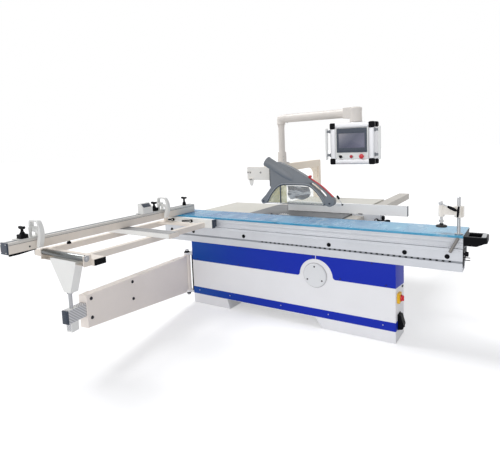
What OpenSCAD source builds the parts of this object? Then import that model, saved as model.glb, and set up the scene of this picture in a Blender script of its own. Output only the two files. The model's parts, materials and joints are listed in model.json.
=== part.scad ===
// Sliding table saw: floor cabinet, sliding carriage on a long beam,
// outrigger crosscut table on a swing arm, tilting saw unit, rip fence,
// overhead guard and control pendant.
// Millimetres, +Z up, +X to the operator end, +Y away from the crosscut side.
// The origin is the centre of the floor anchor holes.

/* [Base] */
// Height of the table surface above the floor
table_h = 880; // [875:1:885]
// Length of the front cabinet
cab_len = 2000; // [1980:5:2020]
// Depth of the whole base
base_dep = 960; // [950:2:970]
// Depth of the front cabinet
cab_dep = 250; // [246:1:254]
// Length of the rear body
body_len = 1360; // [1350:2:1370]
// Height of the rear body
body_h = 740; // [736:1:744]
// Thickness of the sheet metal
wall = 4; // [3:0.5:5]
// Thickness of the coloured panels
panel_t = 2; // [1.5:0.5:3]
// Half spacing of the anchor holes along X
anchor_x = 620; // [610:2:630]
// Half spacing of the anchor holes along Y
anchor_y = 410; // [405:1:415]
// Radius of the anchor holes
anchor_r = 7; // [6:0.5:8]
// Height of the gap under the cabinet
plinth_h = 92; // [86:1:94]

/* [Sliding table] */
// Length of the beam and of the carriage
beam_len = 2800; // [2780:5:2820]
// Shift of the beam centre towards the operator end
beam_ofs = 59; // [54:1:64]
// Height of the beam profile
beam_h = 160; // [158:1:162]
// Height of the carriage profile
carr_h = 89; // [87:1:91]
// Width of the carriage
carr_w = 350; // [347:1:353]
// Vertical gap between the carriage and the beam
run_gap = 3; // [2.5:0.5:4]
// Depth of each raceway
race_d = 14; // [13:0.5:15]
// Clearance of the guide rollers
roll_gap = 0.3; // [0.25:0.05:0.4]

/* [Crosscut table] */
// Top of the crosscut frame below the table surface
cross_drop = 42; // [40:1:44]
// X of the crosscut frame centre
cross_x = -1042; // [-1046:1:-1038]
// Width of the crosscut frame
cross_w = 520; // [514:2:526]
// Y of the outer cross-member centre
cross_y = -1883; // [-1887:1:-1879]
// Size of the frame tubes
tube_w = 48; // [46:1:50]
// Radius of the edge roller
roller_r = 22; // [21:0.5:23]
// Height of the crosscut fence profile
fence_h = 80; // [76:1:84]
// Thickness of the crosscut fence profile
fence_t = 80; // [78:1:82]
// Length of the crosscut fence
fence_len = 1970; // [1960:2:1980]
// Gap below the crosscut fence
fence_gap = 2; // [1.5:0.25:2.5]

/* [Swing arm] */
// Distance of the hinge from the cabinet end
hinge_out = 58; // [56:1:60]
// Radius of the hinge pin
hinge_r = 16; // [15:0.5:17]
// Length of the arm from hinge to mouth
arm_len = 1373; // [1361:2:1381]
// Thickness of the arm
arm_t = 72; // [70:1:76]
// Height of the telescopic tube
tele_h = 95; // [92:1:97]
// Width of the telescopic tube
tele_w = 56; // [54:1:58]

/* [Saw unit] */
// Radius of the main blade
blade_r = 157.5; // [150:0.5:160]
// Height of the blade above the table at rest
blade_up = 15; // [10:1:18]

// Place of the blade along the table
saw_x = -147; // [-155:1:-140]
// Radius of the scoring blade
score_r = 62.5; // [60:0.5:64]
// Radius of the arbor shaft
arbor_r = 17.5; // [16:0.5:19]
// Radius of the lift columns
column_r = 15; // [14:0.5:16]
// Radius of the tilt segments
seg_r = 330; // [326:1:334]
// Radius of the main motor
motor_r = 88; // [84:1:90]

/* [Guard and pendant] */
// Height of the overhead arm top
over_h = 1342; // [1338:1:1346]
// Size of the overhead square tube
over_w = 80; // [76:1:84]
// Width of the guard hood
hood_w = 56; // [54:1:58]
// Radius of the hood dust outlet
hood_port_r = 48; // [46:0.5:50]
// Height of the pendant arm axis
pend_h = 1812; // [1808:1:1816]
// Radius of the pendant column
col_r = 33; // [32:0.5:34]
// Width of the control box
box_w = 422; // [416:2:428]
// Height of the control box
box_h = 385; // [380:1:388]
// Depth of the control box
box_d = 130; // [126:1:134]

/* [Fits] */
// Radial clearance of pins in bores
fit = 0.05; // [0.03:0.01:0.08]
// Gap between sliding faces
slide_gap = 0.5; // [0.4:0.05:0.6]

/* [Hidden] */
$fn = 48;
H = table_h;
y0 = -base_dep / 2;
y9 = base_dep / 2;
yc0 = y0 + panel_t;
yc1 = y0 + cab_dep;
xR = cab_len / 2;
xL = -cab_len / 2;
zk0 = H - carr_h;
zb1 = zk0 - run_gap;
zb0 = zb1 - beam_h;
plug_z = zb0 + 101;
bx0 = beam_ofs - beam_len / 2;
bx1 = beam_ofs + beam_len / 2;
yk0 = y0 + 10;
yk1 = yk0 + carr_w;
yr0 = y0 + 80;
yr1 = y0 + 150;
yb1 = y0 + 218;
blade_y = yk1 + 30;
ty0 = yk1 + 5;
ty1 = y9 + 40;
tx0 = 145 - body_len / 2;
tx1 = body_len / 2 - 250;
open_x0 = 200 - body_len / 2;
open_x1 = body_len / 2 - 230;
tb = H - 36;
zr1 = H - cross_drop;
zr0 = zr1 - tube_w;
cx0 = cross_x - cross_w / 2;
cx1 = cross_x + cross_w / 2;
my1 = y0 - 10;
my0 = my1 - 40;
mx0 = cx0 + 2;
mx1 = cx1 + 92;
mz0 = H - 92;
mz1 = H - 12;
lv1 = cx0 + 125;
lv2 = cx0 + 360;
lvz = H - 35;
fx1 = cross_x - 113;
fx0 = fx1 - fence_t;
fxc = (fx0 + fx1) / 2;
fz0 = H + fence_gap;
fz1 = fz0 + fence_h;
fy1 = yk0 + 240;
fy0 = fy1 - fence_len;
fpy = -620;
hx = xL - hinge_out;
hy = y0 - 12;
rod_x = cross_x + 187;
rod_y = cross_y - 80;
arm_a = atan2(rod_x - hx, hy - rod_y);
rod_d = sqrt((rod_x - hx) * (rod_x - hx) + (hy - rod_y) * (hy - rod_y));
tz1 = 474;
rol_y = cross_y - 85;
rol_z = H - 2 - roller_r;
bar_y = cross_y + 716;
tz0 = tz1 - tele_h;
az = H + blade_up - blade_r;
sz = H + 2.5 - score_r;
sx = 225;
seg_x0 = -272;
seg_x1 = 318;
lx = -110;
motor_z = az - 262;
ox0 = -454;
ox1 = ox0 + over_w;
oxc = (ox0 + ox1) / 2;
oz0 = over_h - over_w;
post_d = 60;
oy1 = ty1 + 790;
gy0 = blade_y + hood_port_r + 18;
gy1 = gy0 + 90;
gx0 = -600;
gx1 = -255;
ggx = -280;
hw = hood_w / 2;
py = 390;
hdx = 472;
hdy = 205;
parm_a = atan2(hdy - py, hdx - oxc);
parm_l = sqrt((hdx - oxc) * (hdx - oxc) + (hdy - py) * (hdy - py));
arm_z = pend_h + 11;
// Top of the pendant column and of the clamp sleeve at its foot
col_top = pend_h - 52;
sleeve_top = over_h + round((col_top - over_h) * 0.3134);
parm_r = 43;
bz1 = pend_h - 79;
bz0 = bz1 - box_h;
bxl = 451 - box_w / 2;
bxr = 451 + box_w / 2;
by0 = hdy - box_d / 2;
by1 = hdy + box_d / 2;
btn_z = bz0 + 73;
rx0 = tx1 + 3;
rx1 = rx0 + 120;
rz1 = H - 12;
rz0 = rz1 - 68;
ry0 = ty0 + 75;
ry1 = ry0 + 1960;
rhy = 150;
clx = bx1 - 35;
cly = yk0 + 50;
csx = clx - 113;

module bx(x0, x1, ya, yb, z0, z1) translate([x0, ya, z0]) cube([x1 - x0, yb - ya, z1 - z0]);
module cz(x, y, z0, z1, r) translate([x, y, z0]) cylinder(h = z1 - z0, r = r);
module cy(x, z, ya, yb, r) translate([x, ya, z]) rotate([-90, 0, 0]) cylinder(h = yb - ya, r = r);
module cx(y, z, x0, x1, r) translate([x0, y, z]) rotate([0, 90, 0]) cylinder(h = x1 - x0, r = r);
module ext_x(x0, x1) translate([x0, 0, 0]) rotate([90, 0, 90]) linear_extrude(x1 - x0) children();
module ext_y(ya, yb) translate([0, yb, 0]) rotate([90, 0, 0]) linear_extrude(yb - ya) children();
module tbox(x0, x1, ya, yb, z0, z1, t) difference() {
    bx(x0, x1, ya, yb, z0, z1);
    bx(x0 + t, x1 - t, ya + t, yb - t, z0 + t, z1 - t);
}

// Notch under the cabinet, from the left foot to the slanted right foot
nx0 = -560;
nx1 = 330;

// Welded front cabinet with the lugs and pin of the swing arm
module front_cabinet() color([0.86, 0.87, 0.88]) {
    difference() {
        ext_y(yc0, yc1) polygon([[xL, 0], [xL, zb0], [xR, zb0], [xR, 0], [nx1 + 62, 0], [nx1, plinth_h], [nx0 - 30, plinth_h], [nx0, 0]]);
        ext_y(yc0 + wall, yc1 - wall) polygon([[xL + wall, wall], [xL + wall, zb0 - wall], [xR - wall, zb0 - wall], [xR - wall, wall], [nx1 + 64, wall], [nx1 + 2, plinth_h + wall], [nx0 - 32, plinth_h + wall], [nx0 - 6, wall]]);
        bx(open_x0, open_x1, yc1 - wall - 1, yc1 + 1, plinth_h + 40, zb0 + 1);
        bx(open_x0, open_x1, y0 + 108, yc1 + 1, zb0 - wall - 1, zb0 + 1);
        for (x = [-anchor_x, anchor_x]) cz(x, -anchor_y, -1, wall + 1, anchor_r);
    }
    for (z = [104, 490]) difference() {
        union() {
            bx(hx, xL, hy, hy + 80, z, z + 20);
            bx(xL - 1, xL + 1, yc0 + 2, hy + 80, z, z + 20);
            cz(hx, hy, z, z + 20, 30);
        }
        cz(hx, hy, z - 1, z + 21, hinge_r - 1);
    }
    cz(hx, hy, 104, 510, hinge_r);
}

// Rear body under the fixed table, with the two saw cradles and the dust spigot
module rear_body() color([0.84, 0.85, 0.86]) {
    yf = yc1 + slide_gap;
    difference() {
        bx(-body_len / 2, body_len / 2, yf, y9, 0, body_h);
        bx(-body_len / 2 + wall, body_len / 2 - wall, yf + wall, y9 - wall, wall, body_h - wall);
        bx(open_x0, open_x1, yf - 1, yf + wall + 1, plinth_h + 40, body_h + 1);
        bx(open_x0, open_x1 - 50, yf - 1, y9 - 40, body_h - wall - 1, body_h + 1);
        for (x = [-anchor_x, anchor_x]) cz(x, anchor_y, -1, wall + 1, anchor_r);
        cy(-200, 250, y9 - wall - 1, y9 + 1, 56);
    }
    difference() {
        cy(-200, 250, y9 - 1, y9 + 80, 60);
        cy(-200, 250, y9 - 2, y9 + 81, 56);
    }
    for (x = [saw_x + seg_x0, saw_x + seg_x1 + 10]) {
        difference() {
            bx(x, x + 24, -300, 120, 430, 600);
            cx(blade_y, H, x - 1, x + 25, seg_r + roll_gap);
        }
        bx(x, x + 24, 119, y9 - wall + 1, 430, 470);
        bx(x, x + 24, 0, 60, wall - 1, 431);
    }
}

// Two upper panels parted at the slit, the lower strip and their end returns
module blue_panels() color([0.13, 0.33, 0.60]) {
    ax = 345;
    difference() {
        union() {
            bx(xL, ax - 3, y0, yc0, zb0 - 190, zb0);
            bx(ax + 3, xR + panel_t, y0, yc0, zb0 - 190, zb0);
        }
        cy(ax, zb0 - 182, y0 - 1, yc0 + 1, 150);
    }
    ext_x(xR, xR + panel_t) polygon([[yc0 - 0.5, zb0 - 190], [yc0 - 0.5, zb0], [yc1, zb0], [yc1, zb0 - 215]]);
    bx(xL, xR + panel_t, y0, yc0, plinth_h + 4, plinth_h + 74);
    bx(xR, xR + panel_t, yc0 - 0.5, yc0 + 54, plinth_h + 4, plinth_h + 74);
}

// Round access cover standing on the cabinet front
module round_cover() color([0.90, 0.90, 0.91]) {
    translate([338, yc0, zb0 - 172]) rotate([90, 0, 0]) rotate_extrude($fn = 72) polygon([[0, 0], [101, 0], [101, 9], [96, 14], [0, 14]]);
}

// Screws of the cover, the lower strip and the upper panels
module panel_screws() color([0.75, 0.76, 0.78]) {
    for (a = [90, 210, 330]) cy(338 + 76 * cos(a), zb0 - 172 + 76 * sin(a), yc0 - 18, yc0 - 14, 5);
    for (x = [xL + 76, xL + 445, 0, 450, xR - 97]) cy(x, plinth_h + 43, y0 - 3, y0, 6);
    for (x = [xL + 70, xL + 560, 60]) cy(x, zb0 - 165, y0 - 3, y0, 5);
    for (x = [560, xR - 70]) cy(x, zb0 - 165, y0 - 3, y0, 5);
}

// Main switch plate and angled mains inlet on the cabinet end
module power_inlet() color([0.85, 0.72, 0.12]) {
    difference() {
        bx(xR, xR + 20, y0 + 40, y0 + 120, 305, 385);
        cx(y0 + 80, 345, xR - 1, xR + 21, 9 + fit);
    }
    color([0.08, 0.08, 0.09]) difference() {
        ext_y(y0 + 60, y0 + 130) polygon([[xR, 88], [xR, 210], [xR + 24, 210], [xR + 46, 130], [xR + 38, 88]]);
        cz(xR + 19, y0 + 95, 63, 113, 14);
    }
}

// Extruded beam: flange, ruler groove, flat face, raceway and bevelled back
module slide_beam() color([0.78, 0.79, 0.80]) difference() {
    ext_x(bx0, bx1) polygon([[y0 - 5, zb0], [y0 - 5, zb0 + 59], [y0 + 10, zb0 + 59], [y0 + 10, zb0 + 74], [y0, zb0 + 74], [y0, zb1], [yr0, zb1], [yr0, zb1 - race_d], [yr1, zb1 - race_d], [yr1, zb1], [yb1, zb1], [yb1, zb0 + 110], [yb1 - 110, zb0]]);
    ext_x(bx0 - 1, bx1 + 1) polygon([[y0 + 24, zb0 + 8], [y0 + 24, zb1 - 26], [y0 + 98, zb1 - 26], [y0 + 98, zb0 + 8]]);
    ext_x(bx0 - 1, bx1 + 1) polygon([[y0 + 108, zb0 + 20], [y0 + 108, zb1 - 26], [yb1 - 8, zb1 - 26], [yb1 - 8, zb0 + 120]]);
    for (x = [-1254, -968, -369, 467, 1067, 1359]) cy(x, plug_z, y0 - 1, y0 + 12, 17);
    cx(y0 + 18, zb0 + 127, bx1 - 40, bx1 + 1, 8 + fit);
}

// Black plugs in the flat face of the beam and the end plates of the beam
module beam_plugs() color([0.06, 0.06, 0.07]) {
    for (x = [-1254, -968, -369, 467, 1067, 1359]) cy(x, plug_z, y0 - 2, y0 + 12, 17);
    for (x = [bx0 - 5, bx1]) difference() {
        bx(x, x + 5, y0 + 2, yb1 - 40, zb0 + 76, zb1 - race_d - 2);
        cx(y0 + 18, zb0 + 127, x - 1, x + 6, 8.5);
    }
    for (z = [zb0 + 84, zb0 + 102]) cx(y0 + 16, z, bx1 + 4, bx1 + 46, 3);
}

// Ribbed cast-iron table with the bevelled blade slot
module cast_table() color([0.35, 0.36, 0.38]) difference() {
    union() {
        bx(tx0, tx1, ty0, ty1, tb, H);
        for (x = [tx0, tx1 - 30]) bx(x, x + 30, 0, y9 - 10, body_h, tb + 1);
        bx(tx0, tx1, y9 - 38, y9 - 10, body_h, tb + 1);
    }
    ext_x(saw_x - 235, saw_x + 305) polygon([[blade_y - 8, H + 1], [blade_y + 8, H + 1], [blade_y + 8, tb - 1], [blade_y - 55, tb - 1], [blade_y - 55, tb + 4], [blade_y - 17, H - 4], [blade_y - 8, H - 4]]);
}

// Sheet table behind the blade, on a rib from the rear body
module rear_table() color([0.72, 0.73, 0.72]) {
    difference() {
        bx(tx0 - 582, tx0 - 1, ty0, ty1 - 5, H - 26, H);
        bx(tx0 - 578, tx0 - 5, ty0 + 4, ty1 - 9, H - 27, H - 4);
    }
    bx(-body_len / 2 + 4, -body_len / 2 + 34, 0, y9 - 10, body_h, H - 3);
    bx(-body_len / 2 + 30, tx0, 200, 240, H - 60, H - 3);
    bx(tx0 - 465, -body_len / 2 + 5, 200, 240, H - 60, H - 3);
}

// Side extension table with two braces to the rear body
module ext_table() color([0.74, 0.75, 0.70]) {
    difference() {
        bx(tx0 + 10, tx1, ty1 + 1, ty1 + 718, H - 26, H);
        bx(tx0 + 14, tx1 - 4, ty1 + 5, ty1 + 714, H - 27, H - 4);
    }
    for (x = [tx0 + 115, tx1 - 130]) {
        ext_x(x, x + 12) polygon([[y9, 560], [y9, body_h], [ty1 + 640, H - 4], [ty1 + 714, H - 4], [ty1 + 640, H - 40]]);
    }
}

// Rectangular rail that carries the rip fence
module rip_rail() color([0.80, 0.81, 0.82]) {
    difference() {
        bx(rx0, rx1, ry0, ry1, rz0, rz1);
        bx(rx0 + 6, rx1 - 6, ry0 - 1, ry1 + 1, rz0 + 6, rz1 - 6);
    }
    for (y = [20, 380, ty1 + 100, ty1 + 600]) bx(tx1, rx0 + 1, y, y + 60, H - 25, rz1);
}

// Floor-standing post with the overhead arm
module overhead_frame() color([0.89, 0.84, 0.76]) {
    difference() {
        bx(ox0, ox1, gy1, oy1, oz0, over_h);
        bx(ox0 + wall, ox1 - wall, gy1 + wall, oy1 - wall, oz0 + wall, over_h - wall);
    }
    difference() {
        bx(ox0, ox1, oy1 - post_d, oy1, 10, oz0 + 1);
        bx(ox0 + wall, ox1 - wall, oy1 - post_d + wall, oy1 - wall, 11, oz0 - 1);
    }
    difference() {
        ext_x(oxc - 28, oxc + 28) polygon([[oy1 - post_d + 1, oz0 + 1], [oy1 - post_d + 1, oz0 - 140], [oy1 - post_d - 140, oz0 + 1]]);
        cx(oy1 - post_d - 140, oz0 - 140, oxc - 30, oxc + 30, 128);
    }
    bx(oxc - 30, oxc + 30, ty1 + 718, oy1 - post_d + 1, H - 24, H - 6);
    difference() {
        bx(oxc - 150, oxc + 150, oy1 - post_d / 2 - 120, oy1 - post_d / 2 + 120, 0, 12);
        for (x = [-120, 120], y = [-95, 95]) cz(oxc + x, oy1 - post_d / 2 + y, -1, 13, anchor_r);
    }
}

// Carrier box on the overhead arm with the vertical guide of the guard
module guard_box() color([0.91, 0.90, 0.88]) {
    difference() {
        bx(gx0, gx1, gy0, gy1, over_h - 136, over_h - 6);
        bx(gx0 + wall, gx1 - wall, gy0 + wall, gy1 - wall, over_h - 136 + wall, over_h - 6 - wall);
    }
    bx(ggx - 9, ggx + 9, gy0 - 9, gy0 + 1, over_h - 205, over_h - 8);
    bx(ggx - 18, ggx + 18, gy0 - 16, gy0 - 8, over_h - 205, over_h - 8);
    ext_y(gy0 - 8, gy0) polygon([[-578, over_h - 117], [-522, over_h - 117], [-530, over_h - 171], [-541, over_h - 195], [-557, over_h - 195], [-570, over_h - 171]]);
    for (x = [-591, -564, -440]) cy(x, over_h - 60, gy0 - 4, gy0, 6);
    for (x = [-562, -540]) cy(x, over_h - 129, gy0 - 12, gy0 - 8, 5);
}

// Round column of the pendant with its foot clamp and top pivot
module pendant_column() color([0.90, 0.87, 0.85]) {
    bx(oxc - 58, oxc + 58, py - 60, py + 60, over_h, over_h + 14);
    cz(oxc, py, over_h + 13, sleeve_top, col_r + 12);
    cz(oxc, py, sleeve_top - 1, col_top, col_r);
    cz(oxc, py, col_top - 1, pend_h + 24, 22);
}

// Rotary main switch knob
module switch_knob() color([0.78, 0.08, 0.08]) {
    cx(y0 + 80, 345, xR + 2, xR + 22, 9);
    cx(y0 + 80, 345, xR + 21, xR + 32, 24);
    bx(xR + 31, xR + 44, y0 + 73, y0 + 87, 324, 366);
}

// Knob of the carriage lock in the beam end
module lock_knob() color([0.06, 0.06, 0.07]) {
    cx(y0 + 18, zb0 + 127, bx1 - 30, bx1 + 14, 8);
    cx(y0 + 18, zb0 + 127, bx1 + 13, bx1 + 34, 17);
}

// Sliding carriage profile
module carriage() color([0.80, 0.81, 0.82]) difference() {
    ext_x(bx0, bx1) polygon([[yk0, zk0], [yk0, H], [yk1, H], [yk1, H - 6], [yk1 - carr_h + 6, zk0], [yr1, zk0], [yr1, zk0 + race_d], [yr0, zk0 + race_d], [yr0, zk0]]);
    ext_x(bx0 - 1, bx1 + 1) polygon([[yk0 - 1, zk0 + 38], [yk0 + 6, zk0 + 38], [yk0 + 6, zk0 + 32], [yk0 + 16, zk0 + 32], [yk0 + 16, zk0 + 56], [yk0 + 6, zk0 + 56], [yk0 + 6, zk0 + 50], [yk0 - 1, zk0 + 50]]);
    ext_x(bx0 - 1, bx1 + 1) polygon([[cly - 6, H + 1], [cly - 6, H - 6], [cly - 12, H - 6], [cly - 12, H - 16], [cly + 12, H - 16], [cly + 12, H - 6], [cly + 6, H - 6], [cly + 6, H + 1]]);
    ext_x(bx0 - 1, bx1 + 1) polygon([[yk0 + 24, zk0 + 10], [yk0 + 24, H - 26], [yr0 - 8, H - 26], [yr0 - 8, zk0 + 10]]);
    ext_x(bx0 - 1, bx1 + 1) polygon([[yr0 + 4, zk0 + race_d + 10], [yr0 + 4, H - 12], [yr1 - 4, H - 12], [yr1 - 4, zk0 + race_d + 10]]);
    ext_x(bx0 - 1, bx1 + 1) polygon([[yr1 + 8, zk0 + 10], [yr1 + 8, H - 12], [yk1 - 34, H - 12], [yk1 - carr_h - 12, zk0 + 10]]);
}

// Cage with the guide rollers between the beam and the carriage
module roller_cage() color([0.55, 0.56, 0.58]) {
    zm = (zb1 - race_d + zk0 + race_d) / 2;
    rr = (zk0 - zb1) / 2 + race_d - roll_gap;
    bx(beam_ofs - 700, beam_ofs + 700, yr0 + 8, yr1 - 8, zm - 4, zm + 4);
    for (i = [-4:4]) cy(beam_ofs + i * 165, zm, yr0 + 3, yr1 - 3, rr);
}

// Moulded push handle on the operator end of the carriage
module push_handle() color([0.07, 0.07, 0.08]) difference() {
    ext_y(yk0 + 2, yk0 + 180) polygon([[bx1, H - 68], [bx1 + 83, H - 68], [bx1 + 146, H - 36], [bx1 + 148, H - 14], [bx1 + 136, H - 3], [bx1, H - 3]]);
    bx(bx1 + 28, bx1 + 112, yk0 + 34, yk0 + 148, H - 40, H + 1);
}

// Post of the hold-down clamp with its slot nut
module clamp_post() color([0.70, 0.71, 0.72]) {
    cz(clx, cly, H, H + 270, 12.5);
    cz(clx, cly, H, H + 10, 26);
    bx(clx - 20, clx + 20, cly - 5.5, cly + 5.5, H - 7, H + 1);
    bx(clx - 20, clx + 20, cly - 11, cly + 11, H - 14, H - 7);
}

// Arm of the hold-down clamp
module clamp_arm() color([0.90, 0.90, 0.87]) difference() {
    union() {
        bx(clx - 30, clx + 32, cly - 27, cly + 27, H + 125, H + 205);
        ext_y(cly - 17, cly + 17) polygon([[csx, H + 150], [csx, H + 195], [clx - 29, H + 205], [clx - 29, H + 130]]);
        cz(csx, cly, H + 125, H + 205, 20);
        bx(csx - 12, csx + 12, cly - 26, cly - 14, H + 180, H + 236);
        cy(csx, H + 226, cly - 54, cly - 25, 6);
    }
    cz(clx, cly, H + 100, H + 230, 12.5 + fit);
    cz(csx, cly, H + 100, H + 230, 9 + fit);
}

// Hand lever of the hold-down clamp
module clamp_lever() color([0.07, 0.07, 0.08]) difference() {
    union() {
        cy(csx, H + 226, cly - 51, cly - 26.5, 13);
        translate([csx, cly - 40, H + 226]) rotate([0, 116, 0]) {
            cylinder(h = 52, r = 5);
            translate([0, 0, 50]) cylinder(h = 66, r = 11);
        }
    }
    cy(csx, H + 226, cly - 60, cly - 20, 6 + fit);
}

// Spindle and rubber pad of the hold-down clamp
module clamp_spindle() color([0.12, 0.12, 0.13]) {
    cz(csx, cly, H + 60, H + 222, 9);
    cz(csx, cly, H + 48, H + 61, 38);
}

// Mounting box of the crosscut table on the side of the carriage
module crosscut_mount() color([0.92, 0.92, 0.91]) {
    difference() {
        union() {
            bx(mx0, mx1, my0, my1, mz0, mz1);
            bx(mx0, mx1, my1 - 1, yk0 - slide_gap, zk0 + 4, mz1);
        }
        bx(mx0 + 4, mx1 - 4, my0 + 4, my1 - 4, mz0 + 4, mz1 - 4);
    }
    bx(mx0 + 40, mx1 - 20, yk0 - slide_gap - 1, yk0 + 5, zk0 + 40, zk0 + 48);
    for (x = [lv1, lv2]) cy(x, lvz, my0 - 24, my0 + 1, 7);
}

// Clamp lever with a hub on a pin, used twice on the mounting box
module clamp_handle(x, len) difference() {
    union() {
        cy(x, lvz, my0 - 22, my0 - 1, 15);
        ext_y(my0 - 20, my0 - 6) polygon([[x - 5, lvz + 10], [x - len + 6, lvz + 2], [x - len, lvz - 4], [x - len + 2, lvz - 16], [x - 5, lvz - 10]]);
    }
    cy(x, lvz, my0 - 30, my0, 7 + fit);
}
module mount_lever_1() color([0.07, 0.07, 0.08]) clamp_handle(lv1, 74);
module mount_lever_2() color([0.07, 0.07, 0.08]) clamp_handle(lv2, 112);

// Welded tube frame of the crosscut table with roller brackets and fence seat
module crosscut_frame() color([0.90, 0.87, 0.80]) {
    cy0 = cross_y - 47;
    cy1 = cross_y + 47;
    ct0 = zr0 + 10;
    ct1 = zr1 + 6;
    cxr = cross_x + 434;
    for (x = [cx0, cx1 - tube_w]) difference() {
        bx(x, x + tube_w, cy1 - 1, my0, zr0, zr1);
        bx(x + 4, x + tube_w - 4, cy1 + 3, my0 - 4, zr0 + 4, zr1 - 4);
    }
    difference() {
        bx(cx0, cxr, cy0, cy1, ct0, ct1);
        bx(cx0 - 1, cxr + 1, cy0 + 4, cy1 - 4, ct0 + 4, ct1 - 4);
    }
    for (x = [cross_x - 87, cross_x + 398]) difference() {
        bx(x, x + 8, rol_y - 22, cy0 + 1, ct0 + 2, H - 4);
        cx(rol_y, rol_z, x - 1, x + 9, 8 + fit);
    }
    bx(cx0 + tube_w - 1, cx1 - tube_w + 1, fpy - 40, fpy + 40, zr1 - 20, zr1);
    cz(fxc, fpy, zr1 - 20, fz0 - slide_gap, 20);
    cz(fxc, fpy, fz0 - slide_gap - 1, fz0 + 14, 10);
}

// Aluminium support bar across the crosscut frame
module mid_bar() color([0.82, 0.83, 0.84]) difference() {
    bx(cx0 - 20, cx1 + 194, bar_y - 57, bar_y + 57, zr1, H - 2);
    for (y = [bar_y - 25, bar_y + 25]) bx(cx0 - 21, cx1 + 195, y - 5, y + 5, H - 12, H);
    bx(cx0 - 21, cx1 + 195, bar_y - 53, bar_y + 53, zr1 + 4, H - 16);
}

// V-shaped bracket and rod that rest on the telescopic tube
module support_bracket() color([0.88, 0.90, 0.92]) {
    ya = cross_y - 109;
    yb = cross_y - 47;
    difference() {
        ext_y(ya, yb) polygon([[rod_x - 155, 828], [rod_x + 128, 828], [rod_x + 128, 806], [rod_x + 48, 597], [rod_x - 25, 597], [rod_x - 155, 806]]);
        ext_y(ya + 5, yb - 5) polygon([[rod_x - 149, 822], [rod_x + 122, 822], [rod_x + 122, 807], [rod_x + 43, 603], [rod_x - 21, 603], [rod_x - 149, 807]]);
    }
    cz(rod_x, rod_y, tz1 + slide_gap, 598, 12);
}

// Round steel roller at the outer edge of the crosscut table
module edge_roller() color([0.85, 0.86, 0.87]) {
    cx(rol_y, rol_z, cross_x - 78, cross_x + 397, roller_r);
    cx(rol_y, rol_z, cross_x - 86, cross_x + 405, 8);
}

// Crosscut fence profile with the channel of its extension
module crosscut_fence() color([0.88, 0.87, 0.83]) difference() {
    bx(fx0, fx1, fy0, fy1, fz0, fz1);
    bx(fxc - 11, fxc + 11, fy0 - 1, fy0 + 1420, fz0 + 16, fz1 - 14);
    for (x = [fxc - 15, fxc + 12]) bx(x - 3, x + 3, fy0 - 1, fy1 + 1, fz1 - 8, fz1 + 1);
    cz(fxc, fpy, fz0 - 1, fz0 + 15, 10 + fit);
    cz(fxc, fy1 - 110, fz1 - 13, fz1 + 1, 5 + fit);
}

// Telescopic inner profile with the outer end cap
module fence_extension() color([0.30, 0.31, 0.33]) {
    bx(fxc - 11 + slide_gap, fxc + 11 - slide_gap, fy0 - 2, fy0 + 1400, fz0 + 16 + slide_gap, fz1 - 14 - slide_gap);
    bx(fx0 - 2, fx1 + 2, fy0 - 12, fy0 - 1, fz0 - 1, fz1 + 2);
}

// Carriage of a flip stop: saddle over the fence, cheeks and pivot pin
module stop_body(y, w) {
    bx(fx0 - 4, fx1 + 4, y - w, y + 30, fz1 + slide_gap, fz1 + 8);
    bx(fx0 - 12, fx0 - slide_gap, y - w, y + 30, fz1 - 30, fz1 + 8);
    bx(fxc - 26, fxc + 26, y - 108, y - 56, fz1 + 7, fz1 + 36);
    for (s = [-27, 20]) bx(fxc - 14, fxc + 16, y + s, y + s + 7, fz1 + 7, fz1 + 74);
    cy(fxc + 2, fz1 + 58, y - 24, y + 24, 6);
}
module stop_arm(y) difference() {
    union() {
        cy(fxc + 2, fz1 + 58, y - 17, y + 17, 15);
        difference() {
            ext_y(y - 17, y + 17) polygon([[fxc - 22, fz1 + 46], [fxc - 20, fz1 + 118], [fxc + 10, fz1 + 127], [fxc + 60, fz1 + 127], [fxc + 84, fz1 + 120], [fxc + 108, fz1 + 80], [fxc + 116, fz1 + 36], [fxc + 108, fz1 - 10], [fxc + 86, fz0 + 16], [fxc + 58, fz0 + 14], [fxc + 64, fz1 - 30], [fxc + 80, fz1 + 20], [fxc + 66, fz1 + 36], [fxc + 20, fz1 + 44]]);
            ext_y(y - 18, y + 18) polygon([[fxc - 10, fz1 + 76], [fxc - 9, fz1 + 109], [fxc + 14, fz1 + 116], [fxc + 58, fz1 + 116], [fxc + 74, fz1 + 110], [fxc + 88, fz1 + 78], [fxc + 92, fz1 + 54], [fxc + 60, fz1 + 56], [fxc + 24, fz1 + 66], [fxc + 8, fz1 + 78]]);
        }
    }
    cy(fxc + 2, fz1 + 58, y - 40, y + 40, 6 + fit);
}
module t_knob(y, z, h) {
    cz(fxc, y, z - 12, z + h - 14, 5);
    translate([fxc, y, z + slide_gap]) cylinder(h = 16, r1 = 20, r2 = 9);
    bx(fxc - 33, fxc + 33, y - 9, y + 9, z + h - 17, z + h);
}
s1y = fy0 + 210;
s2y = fpy - 70;
module stop_block_1() color([0.90, 0.90, 0.88]) difference() {
    stop_body(s1y, 130);
    cz(fxc, s1y - 82, fz1 + 22, fz1 + 37, 5 + fit);
}
module stop_lever_1() color([0.93, 0.93, 0.91]) stop_arm(s1y);
module stop_knob_1() color([0.07, 0.07, 0.08]) t_knob(s1y - 82, fz1 + 36, 58);
module stop_block_2() color([0.90, 0.90, 0.88]) difference() {
    union() {
        stop_body(s2y, 270);
        ext_y(s2y - 268, s2y - 150) polygon([[fx0 + 18, fz1 + 7], [fx1 + 6, fz1 + 7], [fx1 + 6, fz1 + 56], [fx0 + 46, fz1 + 98], [fx0 + 18, fz1 + 98]]);
    }
    cz(fxc, s2y - 82, fz1 + 22, fz1 + 37, 5 + fit);
}
module stop_lever_2() color([0.93, 0.93, 0.91]) stop_arm(s2y);
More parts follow.
